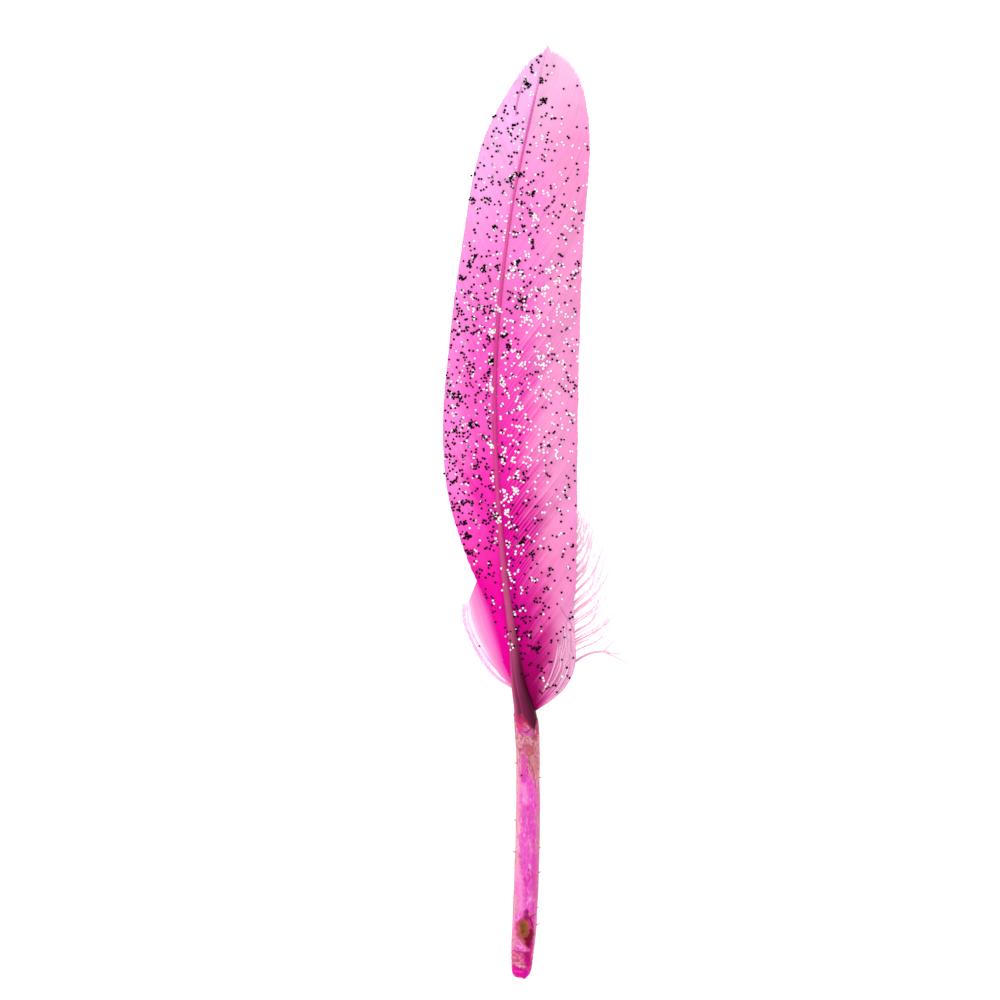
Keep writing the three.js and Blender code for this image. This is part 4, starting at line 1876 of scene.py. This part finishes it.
@dataclass
class Glitter(Growth):
    """Hexagonal flakes that lie on the feather, singly and in clumps of x, y and a number of flakes.

    The shares are the least share of the vane's width that a flake lies at, and how much more it may be.
    """

    dustings: tuple[GlitterDusting, ...]
    clumps: dict[Flake, tuple[tuple[float, float, int], ...]]
    strays: tuple[tuple[float, float], ...]
    seed: int = 71
    thickness: float = 0.03
    seat: float = 0.06
    tilt: float = 0.22
    mixed: float = 0.04
    down_from: float = 0.5
    down_seat: float = 0.95
    lie: Span = (0.0, 0.05)
    spread: Span = (0.85, 1.1)
    lower_end: float = 45.0
    tip_gap: float = 0.8
    samples: int = 400
    spot_stray: float = 0.2
    shares: Span = (0.07, 0.93)
    margin: float = 0.985
    joined: float = 0.3
    joined_step: Span = (0.36, 0.6)
    clump_step: Span = (0.3, 0.5)
    corners: int = 6
    width: dict[Flake, float] = field(
        default_factory=lambda: {Flake.DARK: 0.4, Flake.GREY: 0.36, Flake.BRIGHT: 0.41})

    def build(self) -> bpy.types.Object:
        """Builds the flakes' mesh.

        Returns:
            The flakes.
        """
        found = [(dusting.flake, self._scatter(dusting)) for dusting in self.dustings]
        for flake, clumps in self.clumps.items():
            found += [(flake, self._clump(x, y, count)) for x, y, count in clumps]
        found.append((Flake.DARK, np.array(self.strays)))
        planar = np.concatenate([places for _, places in found])
        width = np.concatenate([np.full(len(places), self.width[flake]) for flake, places in found])
        # Dark and bright flakes are the same silver glitter with painted reflections.
        painted_reflection = np.concatenate([np.full(len(places), flake.value) for flake, places in found])
        painted_reflection = np.where(self.rng.random(len(painted_reflection)) < self.mixed, 1.0 - painted_reflection, painted_reflection)
        height = self.plan.top(planar[:, 0], planar[:, 1], self.seat)
        height = height + self.rng.uniform(*self.lie, len(planar))
        loose = planar[:, 0] < self.plan.left_edge.at(planar[:, 1]) - self.down_from
        height = np.where(loose, self.down_seat, height)
        centre = np.concatenate([planar, height[:, None]], axis=-1)
        rings = self._prisms(centre, width * self.rng.uniform(*self.spread, len(width)))
        rows = math.ceil(math.sqrt(len(centre)))
        self.sheaf.add(rings, {"painted_reflection": painted_reflection[:, None, None]}, rows=rows, flakes=True)
        return self.sheaf.finish("glitter_flakes", smooth=False)

    def _scatter(self, dusting: GlitterDusting) -> Array:
        """Chooses where one dusting's flakes lie.

        Args:
            dusting: The dusting.

        Returns:
            Their places in the plane.
        """
        edge = self.plan.edge(dusting.side)
        count = dusting.count
        spots = np.linspace(self.lower_end, self.plan.length - self.tip_gap, self.samples)
        width = np.abs(edge.at(spots) - self.plan.shaft_path.at(spots))
        weight = np.maximum(dusting.density.at(spots), 0.0) * width
        along = self.rng.choice(spots, count, p=weight / weight.sum())
        along = along + self.rng.uniform(-self.spot_stray, self.spot_stray, count)
        least, more = self.shares
        share = least + more * self.rng.random(count) ** dusting.inward
        inside = self.plan.shaft_path.at(along)
        singles = np.stack([inside + share * self.margin * (edge.at(along) - inside), along], axis=-1)
        joined = self.rng.random(count) < self.joined
        turn = self.rng.uniform(0.0, 2.0 * np.pi, count)
        hop = headings(turn, 1.0)[:, ::-1] * self.rng.uniform(*self.joined_step, (count, 1))
        return np.concatenate([singles, (singles + hop)[joined]])

    def _clump(self, x: float, y: float, count: int) -> Array:
        """Grows one clump, each flake beside an earlier one.

        Args:
            x: The clump's place across the feather.
            y: Its distance along it.
            count: How many flakes it has.

        Returns:
            The flakes' places in the plane.
        """
        places = [np.array([x, y])]
        while len(places) < count:
            turn = self.rng.uniform(0.0, 2.0 * np.pi)
            step = self.rng.uniform(*self.clump_step) * np.array([math.cos(turn), math.sin(turn)])
            places.append(places[self.rng.integers(0, len(places))] + step)
        return np.array(places)

    def _prisms(self, centre: Array, width: Array) -> Array:
        """Turns flakes into thin hexagonal prisms, each tilted a little.

        Args:
            centre: The flakes' middles.
            width: Their widths across corners.

        Returns:
            The rings of a loft.
        """
        count = len(centre)
        corner = 2.0 * np.pi * np.arange(self.corners)[None] / self.corners
        spin = self.rng.uniform(0.0, np.pi, (count, 1)) + corner
        x = 0.5 * width[:, None] * np.cos(spin)
        y = 0.5 * width[:, None] * np.sin(spin)
        lean = self.rng.normal(0.0, self.tilt, (count, 2))
        ring = np.stack([x, y, lean[:, :1] * x + lean[:, 1:] * y], axis=-1) + centre[:, None, :]
        return np.stack([ring, ring + np.array([0.0, 0.0, self.thickness])], axis=1)


@dataclass
class Studio:
    """A pale floor, soft light and a camera that looks straight down, as the photograph does."""

    plan: FeatherPlan
    pixels_per_mm: float = 6.0
    image_width: float = 1000.0
    middle: Span = (-3.333, 79.667)
    focus_height: float = 1.5
    lens: float = 100.0
    sensor: float = 36.0
    nearest: float = 0.01
    floor_half: float = 3.0
    floor_grey: float = 0.65
    floor_roughness: float = 0.9
    floor_glow: float = 0.7
    sky: float = 1.14
    key: float = 1.3
    key_size: float = 0.6
    key_place: tuple[float, float, float] = (-0.5, 0.25, 0.6)

    def build(self) -> None:
        """Sets the stage."""
        self._floor()
        self._light()
        self._camera()

    def _floor(self) -> None:
        """Makes the floor that the feather lies on."""
        mesh = bpy.data.meshes.new("floor")
        half = self.floor_half
        corners = [(-half, -half, 0), (half, -half, 0), (half, half, 0), (-half, half, 0)]
        mesh.from_pydata(corners, [], [(0, 1, 2, 3)])
        floor = bpy.data.objects.new("floor", mesh)
        bpy.context.scene.collection.objects.link(floor)
        material = bpy.data.materials.new("pale floor")
        material.use_nodes = True
        shader = material.node_tree.nodes["Principled BSDF"]
        shader.inputs["Base Color"].default_value = (self.floor_grey, self.floor_grey, self.floor_grey, 1.0)
        shader.inputs["Roughness"].default_value = self.floor_roughness
        shader.inputs["Specular IOR Level"].default_value = 0.0
        shader.inputs["Emission Color"].default_value = (1.0, 1.0, 1.0, 1.0)
        shader.inputs["Emission Strength"].default_value = self.floor_glow
        mesh.materials.append(material)

    def _light(self) -> None:
        """Makes the even sky and the soft key light from the upper left."""
        world = bpy.data.worlds.new("studio")
        world.use_nodes = True
        sky = world.node_tree.nodes["Background"]
        sky.inputs["Color"].default_value = (1.0, 1.0, 1.0, 1.0)
        sky.inputs["Strength"].default_value = self.sky
        bpy.context.scene.world = world
        data = bpy.data.lights.new("key", "AREA")
        data.shape = "DISK"
        data.size = self.key_size
        data.energy = self.key
        key = bpy.data.objects.new("key", data)
        key.location = self.key_place
        key.rotation_euler = (-key.location).to_track_quat("-Z", "Y").to_euler()
        bpy.context.scene.collection.objects.link(key)
        bpy.context.scene.view_settings.view_transform = "Standard"

    def _camera(self) -> None:
        """Makes the camera above the middle of the picture."""
        width = self.image_width / self.pixels_per_mm
        height = width * self.lens / self.sensor + self.focus_height
        data = bpy.data.cameras.new("camera")
        data.lens = self.lens
        data.sensor_width = self.sensor
        data.clip_start = self.nearest
        camera = bpy.data.objects.new("camera", data)
        camera.location = self.plan.place(np.array([*self.middle, height]))
        bpy.context.scene.collection.objects.link(camera)
        bpy.context.scene.camera = camera


def left_vane(plan: FeatherPlan) -> Vane:
    """The narrow vane, with the fold near its tip.

    Args:
        plan: The feather's shared curves.

    Returns:
        The vane.
    """
    return Vane(
        plan, Side.LEFT, "left_vane_barbs", (49.9, 153.8), 0.7,
        outline=plan.left_edge,
        tip_of=Profile((
            (49.7, 52.7), (54.7, 59), (59.7, 68.5), (63, 75.5), (69.7, 86.5), (81.8, 99.5), (96.3, 112.3),
            (108, 122.5), (121.3, 134.8), (129.7, 141.8), (138, 148), (146.3, 152), (150.5, 153.8),
            (153.8, 155.2),
        )),
        leave=Profile(((49, 18), (60, 20), (80, 23), (100, 25), (120, 28), (146, 24), (154, 16))),
        arrive=Profile(((49, 25), (55, 32), (60, 30), (70, 14), (82, 7), (108, 3), (121, 0), (138, -10),
                        (154, -10))),
        seed=11,
        creases=(
            Crease(((-0.7, 143.4), (-0.55, 145.6), (-0.1, 147.6), (0.9, 150.6)), 0.3, 0.6),
        ),
    )


def right_vane(plan: FeatherPlan) -> Vane:
    """The wide vane, loose at its lower end.

    Args:
        plan: The feather's shared curves.

    Returns:
        The vane.
    """
    return Vane(
        plan, Side.RIGHT, "right_vane_barbs", (44.5, 153.8), 0.7,
        outline=Profile((
            (44.6, 2.8), (46.3, 3.35), (49.7, 4.5), (53, 5.4), (56.3, 6.8), (59.7, 7.9), (63, 9.0),
            (66, 9.35), (75, 9.5), (100, 9.8), (121.3, 10.5), (138, 11.67), (142, 11.55), (145.3, 11.2),
            (148.3, 10.65), (150.7, 9.8), (152.7, 8.4), (154.2, 6.8), (155.2, 5.5), (156, 4.6),
        )),
        tip_of=Profile((
            (44.5, 46.6), (48, 57), (52, 67.5), (56.3, 74.5), (62, 81.2), (69.7, 89.5), (81.8, 104.5),
            (96.3, 120), (108, 133.5), (121.3, 146.5), (129.7, 151.2), (138, 153.9), (146.3, 155.3),
            (153.8, 156.0),
        )),
        leave=Profile(((44, 30), (50, 28), (58, 27), (75, 28), (90, 27), (110, 25), (120, 22),
                       (140, 15), (154, 12))),
        arrive=Profile(((44, 22), (50, 18), (56, 10), (82, 9), (108, 12), (121, 5), (140, 8), (154, 14))),
        density=Profile(((45, 2.6), (50, 2.2), (57, 1.4), (64, 1.0), (154, 1.0))),
        seed=23,
        creases=(
            Crease(((-1.1, 71.4), (-0.5, 73.0), (0.15, 74.9)), 0.2, 0.8),
            Crease(((3.2, 60.2), (3.8, 59.2), (4.3, 58.2), (4.8, 56.8)), 0.14, 0.5),
            Crease(((2.5, 58.2), (1.9, 57.1), (1.25, 56.0)), 0.14, 0.6),
            Crease(((6.6, 62.2), (7.2, 61.0), (8.3, 59.4), (9.1, 57.4)), 0.16, 0.45),
        ),
        fringes=(
            Fringe(
                ((1.9, 44.2), (4.8, 46.1), (7.1, 48.1), (8.6, 50.5), (9.2, 53.0), (9.2, 55.4),
                 (9.1, 58.0), (9.0, 61.0), (9.0, 64.0)),
                ((1.4, 45.8), (2.6, 48.0), (3.5, 50.2), (4.3, 52.4), (5.2, 54.8), (6.0, 57.4),
                 (7.0, 60.0), (7.9, 62.4), (8.6, 65.0)),
                30, 0.03, 0.02, (-0.06, -0.12), (0.0, 0.35), even=True,
            ),
            Fringe(
                ((1.9, 44.2), (4.8, 46.1), (7.1, 48.1), (8.6, 50.5), (9.25, 53.0), (9.15, 55.2),
                 (8.5, 57.2), (7.6, 58.6)),
                ((1.6, 45.4), (3.3, 47.6), (4.4, 49.8), (5.2, 52.0), (5.7, 54.0), (6.2, 56.0),
                 (6.6, 58.0), (7.0, 60.0)),
                17, 0.21, 0.2, (0.02, 0.1), (0.12, 0.5), mauve=0.2,
            ),
        ),
    )


def glitter(plan: FeatherPlan) -> Glitter:
    """The dustings, clumps and strays of dark, grey and bright flakes.

    Args:
        plan: The feather's shared curves.

    Returns:
        The glitter.
    """
    left = Profile(((45, 0.0), (51, 0.1), (56, 0.4), (66, 1.0), (74, 1.9), (98, 1.7), (112, 1.1),
                    (140, 0.9), (155, 0.5)))
    right = Profile(((46, 0.2), (54, 1.2), (62, 1.6), (70, 1.3), (80, 0.9), (110, 0.8), (145, 0.9),
                     (150, 0.7), (155, 0.2)))
    glints = Profile(((45, 0.0), (56, 0.15), (75, 0.6), (90, 1.0), (115, 1.0), (130, 0.6), (152, 0.5),
                      (155, 0.0)))
    middle = Profile(((84, 0.0), (92, 1.0), (125, 1.0), (136, 0.45), (146, 0.1), (155, 0.0)))
    lower = Profile(((50, 0.05), (60, 0.2), (75, 0.8), (88, 1.0), (94, 0.0)))
    dark = (
        (1.2, 149.0, 11), (4.2, 146.2, 11), (3.5, 149.7, 6), (1.8, 152.0, 5), (0.0, 134.0, 11),
        (-1.7, 133.5, 9), (2.0, 130.7, 10), (-7.7, 129.3, 8), (-4.2, 125.3, 8), (-5.5, 130.0, 6),
        (-6.0, 118.0, 10), (-10.0, 116.8, 8), (-8.2, 118.7, 6), (-7.7, 119.8, 7), (2.2, 122.7, 8),
        (-0.3, 119.2, 7), (-3.7, 118.7, 6), (-5.0, 111.0, 6), (-10.2, 111.2, 6), (-5.2, 102.8, 12),
        (-2.7, 106.7, 9), (-1.7, 105.3, 8), (-0.3, 113.2, 9), (0.7, 112.8, 7), (3.0, 54.8, 14),
        (2.0, 70.5, 8), (0.5, 72.7, 9), (-8.3, 73.5, 11), (-8.3, 70.7, 9), (-9.3, 76.0, 10),
        (-7.0, 86.0, 7), (-3.0, 86.8, 7), (-3.5, 76.7, 5), (-0.5, 58.3, 6), (-11.2, 91.0, 10),
        (-10.0, 96.5, 8),
    )
    bright = (
        (3.8, 103.7, 9), (0.8, 102.2, 6), (-0.5, 103.5, 5), (4.0, 102.0, 6), (-4.2, 107.5, 7),
        (-3.7, 111.2, 7), (0.7, 110.0, 9), (4.2, 114.8, 7), (5.0, 118.0, 6), (-1.0, 118.0, 6),
        (-4.8, 98.0, 6), (-2.8, 99.0, 6), (-0.7, 81.0, 7), (-0.3, 83.8, 6), (-5.0, 88.8, 6),
        (-3.3, 76.8, 6), (2.3, 126.7, 7),
    )
    return Glitter(
        plan,
        dustings=(
            GlitterDusting(Side.LEFT, Flake.DARK, 500, left, 0.85),
            GlitterDusting(Side.RIGHT, Flake.DARK, 400, right, 1.3),
            GlitterDusting(Side.LEFT, Flake.BRIGHT, 190, glints, 2.2),
            GlitterDusting(Side.RIGHT, Flake.BRIGHT, 320, middle, 1.3),
            GlitterDusting(Side.RIGHT, Flake.BRIGHT, 120, lower, 2.6),
            GlitterDusting(Side.LEFT, Flake.GREY, 26, left, 0.8),
        ),
        clumps={Flake.DARK: dark, Flake.BRIGHT: bright},
        strays=((0.28, 34.0), (-6.75, 55.3)),
    )


def quill_marks() -> tuple[Mark, ...]:
    """The stains, folds and cracks of the quill, from the film up to the junction and down to the cut end,
    with painted shade and a painted highlight line at the cut end.

    Returns:
        The marks, each over the ones before it.
    """
    film = (
        (Dye.PALE_ORCHID, 0.9, ((0.6, 32.0), (0.9, 29.6)), 0.6, 1.0),
        (Dye.DEEP_ORCHID, 1.1, ((1.2, 28.4), (1.8, 24.6)), 0.55, 1.0),
        (Dye.DEEP_ORCHID, 0.8, ((2.3, 20.4), (2.4, 14.0)), 0.6, 0.9),
        (Dye.SALMON, 0.28, ((1.5, 23.3), (1.9, 21.4)), 0.6),
        (Dye.PETAL, 0.9, ((-0.4, 18.6), (0.0, 15.6), (0.1, 11.8)), 0.7, 1.0, 0.9),
        (Dye.SALMON, 0.4, ((-0.2, 17.9), (0.3, 16.4)), 0.6, 1.0),
        (Dye.DEEP_ORCHID, 0.16, ((0.35, 27.9), (0.5, 26.6), (0.7, 25.2)), 0.7, 0.8, 0.9),
        (Dye.DEEP_ORCHID, 0.3, ((0.8, 24.6), (1.2, 24.3)), 0.7, 0.9, 0.9),
        (Dye.DEEP_ORCHID, 0.3, ((0.6, 19.6), (0.9, 18.6)), 0.6, 0.9, 0.9),
        (Dye.DEEP_ORCHID, 0.24, ((1.1, 14.7), (1.0, 13.0)), 0.7),
        (Dye.DEEP_ORCHID, 0.32, ((1.05, 16.4), (1.1, 15.7)), 0.8),
        (Dye.CREAM, 0.18, ((-0.25, 26.0), (-0.05, 24.4)), 0.7),
        (Dye.CREAM, 0.22, ((-0.4, 23.2), (-0.35, 21.5)), 0.7),
        (Dye.TAN, 0.2, ((2.85, 26.3), (2.95, 25.7)), 0.6),
        (Dye.TAN, 0.22, ((2.65, 22.9), (2.7, 22.0)), 0.5),
        (Dye.TAN, 0.2, ((1.55, 18.1), (1.75, 17.6)), 0.7),
        (Dye.MULBERRY, 0.16, ((2.97, 24.3), (2.93, 24.1)), 0.6),
        (Dye.CERISE, 0.2, ((1.4, 18.4), (1.45, 18.2)), 0.7),
    )
    top = (
        (Dye.BRICK, 0.6, ((2.4, 38.6), (2.5, 34.4)), 0.6, 0.9),
        (Dye.ROSEWOOD, 0.9, ((1.0, 38.9), (1.9, 38.2)), 0.7, 0.8, 0.9),
        (Dye.CLAY, 0.55, ((1.3, 38.5), (1.8, 38.1)), 0.75, 0.9, 0.9),
        (Dye.BERRY, 0.45, ((0.2, 38.3), (0.9, 38.0)), 0.6, 0.8),
        (Dye.TAN, 0.42, ((1.85, 37.0), (2.1, 35.8)), 0.8),
        (Dye.DEEP_ORCHID, 0.62, ((0.65, 37.2), (0.6, 33.2)), 0.8),
        (Dye.ORCHID, 0.34, ((0.55, 36.6), (0.6, 34.4)), 0.35, 0.9),
        (Dye.MULBERRY, 0.3, ((2.85, 43.1), (2.9, 40.9)), 0.75, 0.8),
        (Dye.CERISE, 0.16, ((1.25, 36.8), (1.2, 34.9), (1.3, 33.7)), 0.6),
        (Dye.RUST, 0.12, ((0.88, 37.72), (1.43, 37.3), (2.22, 37.72)), 0.95, 0.5, 0.3),
        (Dye.RUST, 0.12, ((1.43, 37.3), (1.48, 36.5), (1.76, 35.7), (2.13, 34.95), (2.4, 33.2),
                              (2.6, 31.9)), 0.9, 0.5, 0.3),
        (Dye.MULBERRY, 0.15, ((2.55, 37.1), (2.62, 37.0)), 0.8),
        (Dye.SMOKE, 0.09, ((-0.1, 38.4), (0.0, 36.9), (-0.2, 35.6), (0.05, 33.6)), 0.6),
        (Dye.CARMINE, 0.16, ((-0.48, 36.5), (-0.45, 35.9)), 0.8),
        (Dye.PLUM, 0.1, ((0.9, 40.2), (0.65, 39.4)), 0.6),
        (Dye.PLUM, 0.1, ((1.9, 39.9), (2.1, 39.2), (2.4, 39.6)), 0.5),
        (Dye.PLUM, 0.09, ((2.0, 30.9), (1.9, 30.3), (2.2, 29.9)), 0.6),
        (Dye.ROSEWOOD, 0.65, ((1.9, 40.9), (2.4, 40.2)), 0.85, 0.7, 0.9),
        (Dye.THISTLE, 0.75, ((0.1, 41.3), (1.6, 41.1)), 0.9, 0.6),
        (Dye.CARMINE, 0.75, ((-0.6, 43.6), (0.1, 41.6)), 0.9, 0.6),
        (Dye.GLOW, 0.95, ((0.1, 43.4), (1.5, 42.2)), 1.0, 0.6),
        (Dye.EMBER, 0.55, ((0.8, 42.5), (1.5, 41.9)), 0.7, 1.0),
        (Dye.SALMON, 0.2, ((1.25, 42.2), (1.5, 41.8)), 0.7),
        (Dye.MULBERRY, 0.1, ((-0.5, 43.1), (-0.2, 42.8), (0.45, 42.2), (0.9, 41.9)), 0.8, 0.6, 0.3),
        (Dye.VIOLET, 0.14, ((0.75, 41.15), (1.1, 41.15), (1.75, 41.7)), 0.9, 0.5, 0.3),
        (Dye.VIOLET, 0.09, ((-0.2, 41.15), (0.65, 40.4), (1.3, 40.8)), 0.6, 0.6, 0.3),
        (Dye.PLUM, 0.12, ((2.6, 40.9), (2.05, 40.05)), 0.8),
        (Dye.BERRY, 0.25, ((2.75, 43.0), (2.75, 40.3)), 0.8, 0.9),
        (Dye.CARMINE, 0.25, ((-1.15, 44.0), (-1.0, 43.2)), 0.9),
    )
    brown = (
        (Dye.BERRY, 1.2, ((1.05, 9.7), (1.3, 7.4)), 1.0, 0.3),
        (Dye.BERRY, 0.8, ((1.3, 7.4), (1.5, 5.6)), 1.0, 0.5),
        (Dye.RUST, 0.5, ((0.2, 7.3), (1.0, 6.3)), 0.9, 0.5),
        (Dye.EMBER, 0.36, ((1.7, 11.0), (2.4, 10.8)), 0.7, 0.6),
        (Dye.MULBERRY, 0.5, ((1.02, 11.5), (1.05, 10.2)), 0.8, 0.4),
        (Dye.OXBLOOD, 0.72, ((1.8, 8.0), (1.4, 6.1)), 1.0, 0.6, 0.7),
        (Dye.OXBLOOD, 0.55, ((1.0, 7.2), (1.35, 5.8)), 1.0, 0.6, 0.7),
        (Dye.RUST, 1.15, ((0.4, 9.1), (0.45, 8.0)), 1.0, 0.2),
        (Dye.CLAY, 0.4, ((-0.4, 8.9), (-0.3, 8.2)), 0.6, 0.9),
        (Dye.UMBER, 0.8, ((0.8, 9.3), (0.7, 8.0)), 0.9, 0.6),
        (Dye.MOSS, 0.5, ((0.45, 9.2), (0.4, 8.0)), 0.75, 0.9, 0.9),
        (Dye.OXBLOOD, 0.25, ((0.5, 8.3), (0.35, 7.9)), 0.5, 0.9),
        (Dye.MULBERRY, 0.16, ((1.15, 11.7), (1.4, 10.4), (2.6, 10.95)), 0.85, 0.6, 0.4),
        (Dye.OXBLOOD, 0.17, ((1.65, 10.3), (2.2, 8.7)), 1.0, 0.6, 0.4),
        (Dye.BERRY, 0.16, ((0.6, 11.2), (0.0, 9.95), (-0.55, 9.2), (-0.8, 8.4)), 0.6, 0.7, 0.4),
        (Dye.RUST, 0.16, ((-0.55, 7.45), (-0.2, 6.9), (0.55, 6.15), (1.25, 5.3)), 0.7, 0.7, 0.4),
        (Dye.TAN, 0.3, ((-0.3, 6.65), (0.1, 6.15)), 0.8),
        (Dye.CREAM, 0.32, ((-0.4, 5.75), (0.2, 5.45)), 0.65, 0.9),
        (Dye.CANDY, 0.3, ((0.6, 5.25), (1.3, 5.0)), 0.7),
        (Dye.CERISE, 0.42, ((2.0, 6.4), (1.85, 4.6)), 0.8, 0.9),
    )
    end = (
        (Dye.CERISE, 0.95, ((1.2, 4.2), (1.5, 2.5)), 1.0, 0.6),
        (Dye.MULBERRY, 0.32, ((1.0, 4.4), (1.4, 3.3)), 0.7, 0.9),
        (Dye.MULBERRY, 0.14, ((-1.2, 4.85), (0.35, 4.7), (1.5, 4.5)), 0.75),
        (Dye.SMOKE, 0.16, ((-0.4, 4.4), (-0.3, 4.35)), 0.6),
        (Dye.SMOKE, 0.12, ((0.25, 3.85), (0.4, 3.7)), 0.7),
        (Dye.SMOKE, 0.12, ((-0.95, 3.1), (-0.9, 3.0)), 0.6),
        (Dye.SMOKE, 0.12, ((-0.45, 3.15), (-0.3, 3.05)), 0.7),
        (Dye.SALMON, 0.25, ((-0.5, 2.4), (0.8, 2.2)), 0.7),
        (Dye.MULBERRY, 0.15, ((-1.2, 2.5), (-0.4, 2.1), (0.2, 1.75), (0.9, 1.95)), 0.85, 0.7, 0.4),
        # Painted highlight line across the cut end.
        (Dye.HOT_PINK, 0.12, ((-0.8, 1.4), (0.4, 1.3)), 0.7, 0.8),
        # The two dahlia marks are painted shade at the lower right of the cut end.
        (Dye.DAHLIA, 0.4, ((0.9, 1.3), (1.1, 0.3)), 0.7, 1.0),
        (Dye.DAHLIA, 0.22, ((-0.2, 0.75), (0.8, 0.5)), 0.6, 1.0),
    )
    return tuple(Mark(*row) for row in film + top + brown + end)


def main() -> None:
    """Builds the feather's pieces in order and sets the stage round them."""
    logging.basicConfig(level=logging.INFO, format="%(name)s %(message)s")
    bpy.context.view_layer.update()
    plan = FeatherPlan()
    effects = SharedEffects()
    Studio(plan).build()

    horn = ShaftFinish(
        "dyed horn", roughness=0.38, specular=0.06, drift=0.3,
        rachis=((0.285, Dye.DAMSON), (0.3, Dye.DAMSON), (0.33, Dye.PLUM), (0.385, Dye.DUSKY),
                (0.45, Dye.MAUVE), (0.53, Dye.FOXGLOVE),
                (0.68, Dye.FOXGLOVE), (0.85, Dye.CANDY), (0.94, Dye.HOT_PINK), (0.98, Dye.BLUSH)),
    )
    windows = (
        Mark(Dye.RUST, 0.75, ((0.4, 9.4), (0.9, 7.4)), 1.0),
        Mark(Dye.RUST, 0.45, ((1.5, 38.2), (1.8, 36.2)), 0.5),
    )
    dress(Shaft(plan, quill_marks(), windows).build(), horn.material(effects), "horn", "shaft")

    dry = PithFinish("dry pith", roughness=0.85, drift=0.4).material(effects)
    for pith in (Pith(plan, "upper_pith", 34.0, 40.4, 1.3, 3), Pith(plan, "lower_pith", 5.4, 11.9, 1.3, 8)):
        dress(pith.build(), dry, "pith", pith.node)

    left_dye = VaneFinish(
        "left vane dye", specular=0.02, fade=Step(0.25, 0.95), ridge_highlight=0.14, crease=Dye.DEEP_ORCHID,
        inner=((0.33, Dye.VIVID), (0.42, Dye.VIVID), (0.47, Dye.FUCHSIA), (0.53, Dye.FUCHSIA),
               (0.59, Dye.HOT_PINK),
               (0.68, Dye.HOT_PINK), (0.78, Dye.ROSE), (0.95, Dye.LILAC)),
        outer=((0.33, Dye.VIVID), (0.43, Dye.VIVID), (0.49, Dye.HOT_PINK), (0.54, Dye.ROSE),
               (0.72, Dye.ROSE),
               (0.95, Dye.LILAC)),
    )
    dress(left_vane(plan).build(), left_dye.material(effects), "vane", "left_vane")
    right_dye = VaneFinish(
        "right vane dye", specular=0.02, fade=Step(0.2, 0.76), ridge_highlight=0.52,
        rim=Step(0.985, 0.995, 0.0, 0.7), margin=Step(0.5, 0.9, 0.0, 0.6),
        inner=((0.295, Dye.WINE), (0.36, Dye.CERISE), (0.43, Dye.MAGENTA), (0.5, Dye.MAGENTA),
               (0.58, Dye.FUCHSIA),
               (0.68, Dye.HOT_PINK), (0.78, Dye.ROSE), (0.83, Dye.ROSE), (0.95, Dye.BLUSH)),
        outer=((0.28, Dye.MAGENTA), (0.315, Dye.CANDY), (0.4, Dye.CANDY), (0.5, Dye.PETAL),
               (0.9, Dye.PETAL),
               (0.97, Dye.BLUSH)),
    )
    dress(right_vane(plan).build(), right_dye.material(effects), "vane", "right_vane")

    left_soft = DownFinish("left down dye", roughness=0.8, stops=(
        (0.0, Dye.VIVID), (0.26, Dye.HOT_PINK), (0.54, Dye.PETAL), (0.8, Dye.BLUSH), (1.0, Dye.WHITE)))
    dress(LeftDown(plan).build(), left_soft.material(effects), "down", "left_down")
    right_soft = DownFinish("right down dye", roughness=0.8, painted_glow=0.22, stops=(
        (0.0, Dye.MAGENTA), (0.4, Dye.CANDY), (0.6, Dye.HAZE), (0.8, Dye.MIST), (1.0, Dye.WHITE)))
    dress(RightDown(plan).build(), right_soft.material(effects), "down", "right_down")

    sparkle = GlitterFinish("glitter", specular=0.02)
    dress(glitter(plan).build(), sparkle.material(effects), "vane")


if __name__ == "__main__":
    main()
